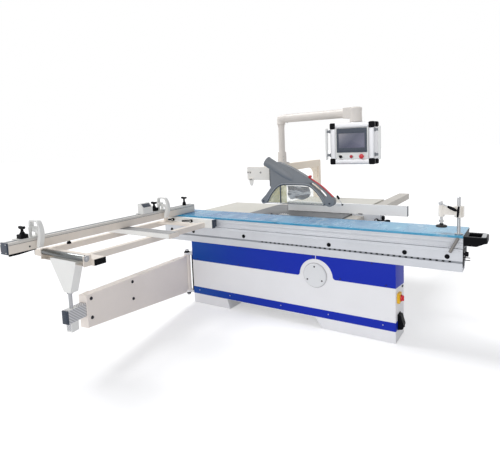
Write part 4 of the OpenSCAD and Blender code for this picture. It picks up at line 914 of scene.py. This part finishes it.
def add_swing_arm_trim():
    """Bolts on the arm's side plates, lips at its mouth, and the cap and rest of the telescopic tube."""
    place = Matrix.Translation((*ARM_HINGE, 0)) @ Matrix.Rotation(ARM_TURN, 4, "Z")
    face, mouth, low, high = 36, -1373, 290, 531
    out = place.to_3x3() @ Vector(RIGHT)
    bolts = Piece()
    for y, z in ((-1333, 497), (-1335, 354), (-879, 481), (-879, 338)):
        for side in (1, -1):
            head = [(13, 0), (13, 3), (9, 4), (9, 9), (6, 10), (0, 10)]
            bolts.lathe(place @ Vector((side * face, y, z)), side * out, head, 20)
    bolts.done("arm_bolts", "arm", "dark_steel", slot="steel")
    lips = Piece()
    for z0, z1 in ((low - 3, 372), (481, high + 2)):
        lips.box(-face - 3, face + 3, mouth - 4, mouth + 2, z0, z1, 1, 2, place)
    for x in (-face - 3, face - 6):
        lips.box(x, x + 9, mouth - 4, mouth + 2, 370, 483, 1, 2, place)
    lips.box(-face - 2, -face + 3, mouth, mouth + 90, low, high, 1, 2, place)
    for z, way in ((124.5, UP), (487.5, DOWN)):
        lips.lathe((*ARM_HINGE, z), way, [(17, 0), (34, 0), (34, 10), (30, 14)])
    lips.done("arm_lips", "arm", "arm_lit_cream", slot="cream_paint")

    half, end, low, high = 28, -ARM_REACH - 52, 379, 474
    cap = Piece().box(-half - 1, half + 1, end - 8, end + 1, low - 1, high + 1, 3, 3, place)
    cap.box(-half + 9, half - 9, end - 10, end - 7, low + 10, high - 10, 1.5, 2, place)
    cap.done("tube_cap", "telescope", "dark_plastic", slot="black_plastic")
    rod_y = end + 52
    rest = Piece().box(-half, half, rod_y - 34, rod_y + 34, high - 1, high + 0.4, 0.3, 1, place)
    for x0, x1, z0, z1 in ((-27, 27, -66, -58), (-27, -21, -62, 1), (21, 27, -62, 1)):
        rest.box(x0, x1, rod_y - 32, rod_y + 32, low + z0, low + z1, 2, 2, place)
    rest.done("tube_bracket", "telescope", "white_paint")


# ---------------- guard, pendant and rip fence


def add_hood():
    """Moulded guard: arched shell with a slot in its front strut, a dust tube, rims and foot screws."""
    arch = [(-318, 1002), (-290, 1050), (-262, 1090), (-215, 1140), (-164, 1170), (-100, 1177), (50, 1178)]
    arch = smooth_line(arch + [(110, 1174), (160, 1154), (215, 1103), (262, 1038), (278, 995)], 4)
    nose = arc(326, 1030, 47, 237, 385, 14)
    top = smooth_line([(354, 1068), (250, 1160), (126, 1240), (20, 1300), (-61, 1342), (-190, 1392)], 3)
    back = [(-240, 1386), (-276, 1330), (-276, 1140), (-300, 1112), (-332, 1072)]
    heel = arc(-358, 1012, 28, 160, 292, 10)
    slot = [(140, 1196), (180, 1192), (242, 1146), (302, 1088), (280, 1066), (222, 1122), (152, 1172)]
    slot = smooth_line(slot, 3, closed=True)
    shell = Piece().panel("y", arch + nose + top + back + heel, [slot], HOOD_Y0, HOOD_Y1, 7, 3)
    tube = [(44, -2), (50, -2), (51, 4), (48.5, 10), (48, 215), (45, 275), (38, 325), (24, 356), (0, 368)]
    shell.lathe(DUST_MOUTH, DUST_WAY, [(0, 150), (44, 150)] + tube, 48)
    guide, flank, web, behind, front = -280, 19, 9.8, HOOD_Y1 - 12, GUARD_BOX_Y - 0.5
    for x0, x1, y0, y1, bevel in (
        (guide - 30, guide - flank, behind, front, 2),
        (guide + flank, -242, behind, front, 2),
        (guide - 30, -242, behind, GUARD_BOX_Y - 17, 2),
        (guide - flank - 2, guide - web, GUARD_BOX_Y - 7, front, 0.5),
        (guide + web, guide + flank + 2, GUARD_BOX_Y - 7, front, 0.5),
    ):
        shell.box(x0, x1, y0, y1, 1150, 1340, bevel)
    shell.done("hood_shell", "guard", "grey_plastic", "hood")

    line = [(-262, 1312), (-202, 1250), (-138, 1196), (-112, 1190), (60, 1190), (114, 1188), (120, 1204)]
    line += [(92, 1244), (8, 1294), (-66, 1331), (-160, 1368), (-230, 1374)]
    line = smooth_line(line, 3, closed=True)
    cheek, rim, trim = Piece(), Piece(), Piece()
    for y in (HOOD_Y0 - 2.5, HOOD_Y1 - 0.5):
        cheek.prism("y", line, y, y + 3, 1.5, 2)
    cheek.done("hood_cheeks", "guard", "grey_plastic")
    for y in (HOOD_Y0 - 3, HOOD_Y1 + 3):
        rim.sweep([(x, y, z + 7) for x, z in arch], 4.5, 12)
    rim.done("hood_rim", "guard", "rim_grey", slot="grey_plastic")
    for y in (HOOD_Y0 - 3.5, HOOD_Y1 + 3.5):
        trim.sweep([(x, y, z - 3) for x, z in arch], 4, 12)
        trim.box(-316, 282, y - 1, y + 1, 993, 999, 0.8)
    trim.box(-172, -160, HOOD_Y0 - 5, HOOD_Y0 - 2, 993, 1174, 1)
    for x, z in ((-358, 1010), (328, 1012), (278, 1002)):
        trim.screw((x, HOOD_Y0, z), NEAR, 8)
        trim.screw((x, HOOD_Y1, z), FAR, 8)
    trim.done("hood_trim", "guard", "dark_plastic", slot="black_plastic")

    y = BLADE_Y
    latch = Piece().rod((440, y, 1004), (404, y, 1062), 3.5).rod((388, y, 1003), (442, y, 1003), 4)
    latch.done("hood_latch_rod", "guard", "steel")
    swell = [(0, 0), (8, 0), (10, 4), (11, 18), (9, 34), (5, 38), (0, 38)]
    grip = Piece().lathe((410, y, 1052), (-0.5, 0, 0.86), swell, 20).rod((434, y, 1003), (446, y, 1003), 8)
    grip.done("hood_latch_grip", "guard", "black_plastic")

    edge = smooth_line([(126, 1240), (250, 1160), (354, 1068)], 6)
    raised = [(x + 4, z + 5) for x, z in reversed(edge)]
    strip = Piece().prism("y", edge + raised, HOOD_Y0 + 15, HOOD_Y1 - 15, 2, 3)
    cap = [(0, 0), (6, 0), (10.5, 2), (12, 6), (12, 38), (10.5, 42), (6, 44), (0, 44)]
    strip.lathe((133, HOOD_Y0 + 6, 1252), FAR, cap).done("hood_edge_strip", "guard", "red_plastic", "hood_strip")

    wave = [(-96, 1166), (-88, 1120), (-94, 1076), (-62, 1038), (-8, 1046), (56, 1036), (120, 1062)]
    wave = smooth_line(wave + [(142, 1104), (124, 1158)], 4)
    baffle = Piece().prism("y", wave, HOOD_Y0 + 8, HOOD_Y0 + 11, 1)
    baffle.done("hood_baffle", "guard", "smoked", slot="dark_plastic")
    pane = [(-304, 1001), (-262, 1080), (-215, 1130), (-166, 1166), (-104, 1171), (-104, 1001)]
    tint = Piece().prism("y", pane, HOOD_Y0 + 5, HOOD_Y0 + 6.5, 0.4)
    tint.done("hood_tint", "guard", "yellow_tint", slot="clear_plastic")


def add_guard_box_screws():
    """Screws on the near face of the guard's carrier box."""
    p = Piece()
    for x in (-591, -564, -440, -320):
        p.screw((x, GUARD_BOX_Y, 1282), NEAR, 8, 5)
    for x, z in ((-562, 1211), (-543, 1213)):
        p.screw((x, GUARD_BOX_Y - 8, z), NEAR, 7, 5)
    p.done("guard_box_screws", "base", "dark_steel", slot="steel")


def add_pendant():
    """Column sleeve, and the swinging arm with its elbow, tube, collar and head."""
    x, y = COLUMN
    foot_z = 1356
    wall = [(57, 0), (57, 4), (47, 9), (46.5, 110), (44, 117.5), (33.2, 117.5)]
    sleeve = Piece().lathe((x, y, foot_z), UP, wall, 48)
    sleeve.lathe((x, y, 1738), UP, [(33.2, 0), (36, 2), (36, 18), (33.2, 20)], 48)
    sleeve.done("column_sleeve", "base", "pendant_shaded_cream", slot="cream_paint")
    bolts = Piece()
    for dz in (0, 34):
        for dx in (-34, 34):
            way = Vector((dx, -38, 0)).normalized()
            bolts.screw((x + way.x * 46, y + way.y * 46, 1388 + dz), way, 5)
    for dx in (-46, 46):
        for dy in (-48, 48):
            bolts.lathe((x + dx, y + dy, foot_z), UP, [(8, 0), (8, 6), (5, 6), (5, 9), (0, 9)], 6)
    bolts.done("column_bolts", "base", "steel")

    base = Matrix.Translation((x, y, BOOM_Z)) @ Matrix.Rotation(ARM_BEARING, 4, "Z")
    reach = math.dist(COLUMN, HEAD[:2])
    tube, foot = 43, BOOM_Z - 1760.5
    bend = [(0, -foot), (0, -44), (6, -20), (20, -5), (44, 0), (80, 0)]
    path = smooth_line([(a, 0, b) for a, b in bend], 5) + [(reach - 40, 0, 0)]
    arm = Piece().sweep([base @ Vector(p) for p in path], tube, 40)
    elbow = [(0, 0), (44, 0), (45, 2), (45, 12), (43, 14), (43, 58), (38, 80), (26, 91), (0, 94)]
    arm.lathe((x, y, BOOM_Z - foot), UP, elbow, 48)
    arm.sweep([base @ Vector((a, 0, 0)) for a in (76, 84, 92)], [44.5, 45, 44], 40)
    arm.box(reach - 112, reach - 52, -48, 48, -50, 50, 6, 3, base)
    arm.box(reach - 60, reach - 20, -49, 49, -52, 51, 8, 3, base)
    head = [(0, -74), (53, -74), (56, -71), (56, -40), (53.5, -10), (54, 20), (57, 44), (57, 50), (52, 56)]
    arm.lathe(HEAD, UP, head + [(38, 61), (18, 64), (0, 64)], 64)
    arm.done("pendant_boom", "pendant", "pendant_shaded_cream", "pendant_arm", slot="cream_paint")
    screws = Piece()
    for a, b in ((-100, -26), (-64, -26), (-100, 28), (-64, 28)):
        screws.screw(base @ Vector((reach + a, -48, b)), base.to_3x3() @ Vector(NEAR), 3)
    screws.screw(base @ Vector((84, 0, -44)), DOWN, 6).done("pendant_screws", "pendant", "steel")


def add_console():
    """Control box of drawn rails with black corner caps, a screen, three controls and two side handles."""
    x0, x1, y0, y1, z0, z1 = BOX_X0, BOX_X1, BOX_Y0, BOX_Y1, BOX_Z0, BOX_Z1
    rail, band = 58, 52
    rails = Piece()
    for side in (x0, x1 - rail):
        outline = rounded(side, side + rail, y0 - 2, y1 + 2, 16)
        rails.prism("z", outline, z0 + band - 2, z1 - band + 2, 0.6, 1)
        for x in (side + 16, side + rail - 14):
            rails.box(x, x + 2, y0 - 3, y0, z0 + band, z1 - band, 0.8)
    for low in (z0, z1 - band):
        rails.prism("x", rounded(y0 - 2, y1 + 2, low, low + band, 14), x0 + 42, x1 - 42, 0.6, 1)
        rails.box(x0 + 44, x1 - 44, y0 - 3, y0, low + 18, low + 20, 0.8)
    rails.done("console_rails", "console", "aluminium_z", "control_box", slot="aluminium")
    sheets, caps, bars, clamps, rings = Piece(), Piece(), Piece(), Piece(), Piece()
    for y in (y0 + 1, y1 - 4):
        sheets.box(x0 + rail - 2, x1 - rail + 2, y, y + 3, z0 + band - 2, z1 - band + 2, 0.5)
    sheets.lathe((*HEAD[:2], z1 - 1), UP, [(0, 0), (52, 0), (52, 4), (20, 4.5), (20, 48), (0, 48)], 48)
    sheets.done("console_sheets", "console", "white_paint", "control_box")
    cap_w, cap_h = 54, 58
    for x in (x0 - 1, x1 + 1 - cap_w):
        for z in (z0 - 1, z1 + 1 - cap_h):
            for y in (y0 - 5, y1 - 37):
                caps.prism("y", rounded(x, x + cap_w, z, z + cap_h, 13), y, y + 42, 7, 3)
    caps.done("console_corners", "console", "black_plastic", "control_box")
    y = y0 + 14
    for edge, side in ((x0, -1), (x1, 1)):
        x = edge + 40 * side
        bars.lathe((x, y, z0 + 45), UP, [(0, 0), (10, 0), (13, 3), (13, 292), (10, 295), (0, 295)], 28)
        for z in (z0 + 88, z1 - 75):
            clamps.box(*sorted((x, edge)), y - 11, y + 11, z - 12, z + 12, 2)
            clamps.box(*sorted((edge, edge + 5 * side)), y - 14, y + 14, z - 17, z + 17, 2)
    bars.done("console_handles", "console", "white_plastic", "control_box", slot="white_paint")
    clamps.done("console_handle_clamps", "console", "grey_plastic", "control_box")

    bx0, bx1, bz0, bz1 = x0 + 67, x0 + 354, z0 + 110, z1 - 52
    pane = rounded(bx0 + 20, bx1 - 20, bz0 + 42, bz1 - 46, 3)
    bezel = Piece().panel("y", rounded(bx0, bx1, bz0, bz1, 6), [pane], y0 - 6, y0 + 1, 1.6, 3)
    bezel.done("screen_bezel", "console", "dark_plastic", "screen_panel")
    glass = Piece().prism("y", pane, y0 - 3.5, y0, 0.5)
    glass.done("screen_glass", "console", "display", "screen_panel", slot="dark_plastic")

    z, selector_x, start_x, stop_x = z0 + 73, x0 + 106, x0 + 208, x0 + 308
    for x in (selector_x, start_x, stop_x):
        rings.lathe((x, y0 + 1, z), NEAR, [(19, 0), (19, 3), (17, 4), (15.6, 4)], 36)
    rings.done("control_rings", "console", "chrome")
    stem = [(0, -6), (11, -6)]
    mushroom = stem + [(11, 12), (20, 14), (22, 18), (22, 24), (18, 30), (9, 33), (0, 34)]
    stop = Piece().lathe((stop_x, y0, z), NEAR, mushroom, 40)
    stop.done("stop_mushroom", "stop_button", "red_plastic", "e_stop")
    cap = stem + [(11, 6), (14, 7), (15, 10), (13, 13), (0, 14)]
    start = Piece().lathe((start_x, y0, z), NEAR, cap, 36)
    start.done("start_cap", "start", "deep_red", "start_button", slot="red_plastic")
    turn = Piece().lathe((selector_x, y0, z), NEAR, stem + [(11, 3), (14, 4), (14, 10), (12, 12), (0, 12)], 36)
    tilt = Matrix.Translation((selector_x, y0 - 17, z)) @ Matrix.Rotation(math.radians(40), 4, "Y")
    turn.box(-16, 16, -7, 6, -5, 5, 2.5, 3, tilt)
    turn.done("selector_grip", "selector_switch", "black_plastic", "selector")


def add_rip_fence():
    """End caps of the rip fence bar, the clamp lever, and the fittings and knob on the fence's head."""
    bar, head = Piece(), Piece()
    for x in (-239, 936):
        bar.box(x, x + 6, 156.4, 195.6, TABLE_Z + 4.4, TABLE_Z + 94.6, 1.2)
    bar.done("rip_bar_caps", "rip_fence", "dark_plastic", slot="black_plastic")
    x, y, z = 673, 139, 840
    lever = Piece().panel("y", ring(x, z, 16), [ring(x, z, 8.1)], y - 9, y + 10, 2, 2)
    lever.sweep([(x + a, y, z - 1) for a in (12, 50, 86)], [6, 6, 6.5])
    lever.lathe((x + 80, y, z - 1), RIGHT, [(0, 0), (8, 0), (12, 8), (13, 26), (10, 42), (0, 46)], 28)
    lever.done("rip_lever_grip", "rip_clamp", "black_plastic", "rip_lever")
    foot_z = 884
    for x in (430, 490, 570):
        head.lathe((x, 197, 918), NEAR, [(0, -30), (10, -30), (10, -27), (6, -26), (6, 0)], 24)
    head.lathe((530, 215, foot_z), UP, [(22, 0), (22, 6), (18, 10), (18, 26), (14, 30), (0, 30)], 28)
    head.lathe((590, 240, foot_z), UP, [(16, 0), (16, 18), (12, 22), (0, 22)], 28)
    head.done("rip_head_fittings", "rip_carrier", "chrome")
    grip = [(0, 0), (20, 0), (20, 16), (24, 20), (24, 34), (20, 38), (0, 38)]
    knob = Piece().lathe((530, 251, foot_z), UP, grip, 12)
    knob.box(500, 540, 150, 279, foot_z - 1, foot_z + 5, 2)
    knob.rod((700, 215, 850), (726, 215, 850), 20, bevel=4)
    knob.done("rip_head_knob", "rip_carrier", "black_plastic")


# ---------------- camera, light and floor


def add_camera():
    """Puts the camera where the perspective of the photograph's straight lines places it."""
    place = Vector((1.8485, -3.7622, 1.5829))
    yaw, pitch, roll = 0.575, -0.103, 0.039
    forward = Vector((-math.sin(yaw) * math.cos(pitch), math.cos(yaw) * math.cos(pitch), math.sin(pitch)))
    right = Vector((math.cos(yaw), math.sin(yaw), 0))
    down = forward.cross(right)
    across = math.cos(roll) * right + math.sin(roll) * down
    downward = -math.sin(roll) * right + math.cos(roll) * down
    data = bpy.data.cameras.new("camera")
    data.sensor_width = 36.0
    data.lens = 31.48
    data.shift_y = -0.074
    data.clip_end = 200.0
    camera = put("camera", data)
    turn = Matrix((across, -downward, -forward)).transposed().to_4x4()
    camera.matrix_world = Matrix.Translation(place) @ turn
    bpy.context.scene.camera = camera


def add_light():
    """A key and a fill lamp, and a sky that is white to the camera and in reflections and dimmer as light."""
    for name, energy, width, way, shadow in (
        ("key", 1.5, 24, (0.74, -0.05, -1.0), True),
        ("fill", 0.72, 60, (0.10, 0.85, -0.35), False),
    ):
        sun = bpy.data.lights.new(name, "SUN")
        sun.energy, sun.angle, sun.use_shadow = energy, math.radians(width), shadow
        put(name, sun).rotation_euler = Vector(way).to_track_quat("-Z", "Y").to_euler()

    world = bpy.context.scene.world or bpy.data.worlds.new("world")
    bpy.context.scene.world = world
    world.use_nodes = True
    tree = world.node_tree
    tree.nodes.clear()
    mix = tree.nodes.new("ShaderNodeMixShader")
    for socket, color, strength in ((1, (0.97, 0.98, 1.0, 1), 0.56), (2, (1, 1, 1, 1), 1.0)):
        sky = tree.nodes.new("ShaderNodeBackground")
        sky.inputs["Color"].default_value = color
        sky.inputs["Strength"].default_value = strength
        tree.links.new(sky.outputs[0], mix.inputs[socket])
    path = tree.nodes.new("ShaderNodeLightPath").outputs
    seen = path["Is Camera Ray"]
    for ray in ("Is Transmission Ray", "Is Glossy Ray"):
        either = tree.nodes.new("ShaderNodeMath")
        either.operation = "MAXIMUM"
        tree.links.new(seen, either.inputs[0])
        tree.links.new(path[ray], either.inputs[1])
        seen = either.outputs[0]
    tree.links.new(seen, mix.inputs["Fac"])
    out = tree.nodes.new("ShaderNodeOutputWorld")
    tree.links.new(mix.outputs[0], out.inputs["Surface"])


def add_floor():
    """Floor that the camera sees as white, darker only where the machine shades it."""
    mesh = bpy.data.meshes.new("floor")
    half = 60.0
    corners = [(-half, -half, 0), (half, -half, 0), (half, half, 0), (-half, half, 0)]
    mesh.from_pydata(corners, [], [(0, 1, 2, 3)])
    g = Graph("floor")
    tone = g.ramp(g.noise(0.6, 3.0), [(0.3, (0.78, 0.78, 0.79, 1)), (0.7, (0.80, 0.80, 0.80, 1))])
    seen = g.add("ShaderNodeLightPath").outputs["Is Camera Ray"]
    g.to_shader(Base_Color=tone, Roughness=0.9, Emission_Color=(1, 1, 1, 1))
    g.to_shader(Emission_Strength=g.spread(seen, 0.0, 1.0, 0.0, 0.32))
    mesh.materials.append(g.material)
    floor = put("floor", mesh)
    floor.location.z = -0.0005


add_cladding()
add_panel_screws()
add_switch()
add_hinge_bolts()
add_beam_trim()
add_lock_knob()
add_carriage()
add_film()
add_push_handle()
add_hold_down()
add_mount_levers()
add_frame_trim()
add_roller()
add_fence()
add_stops()
add_swing_arm_trim()
add_hood()
add_guard_box_screws()
add_pendant()
add_console()
add_rip_fence()
add_camera()
add_light()
add_floor()
bpy.context.scene.view_settings.view_transform = "Standard"


bpy.context.view_layer.update()
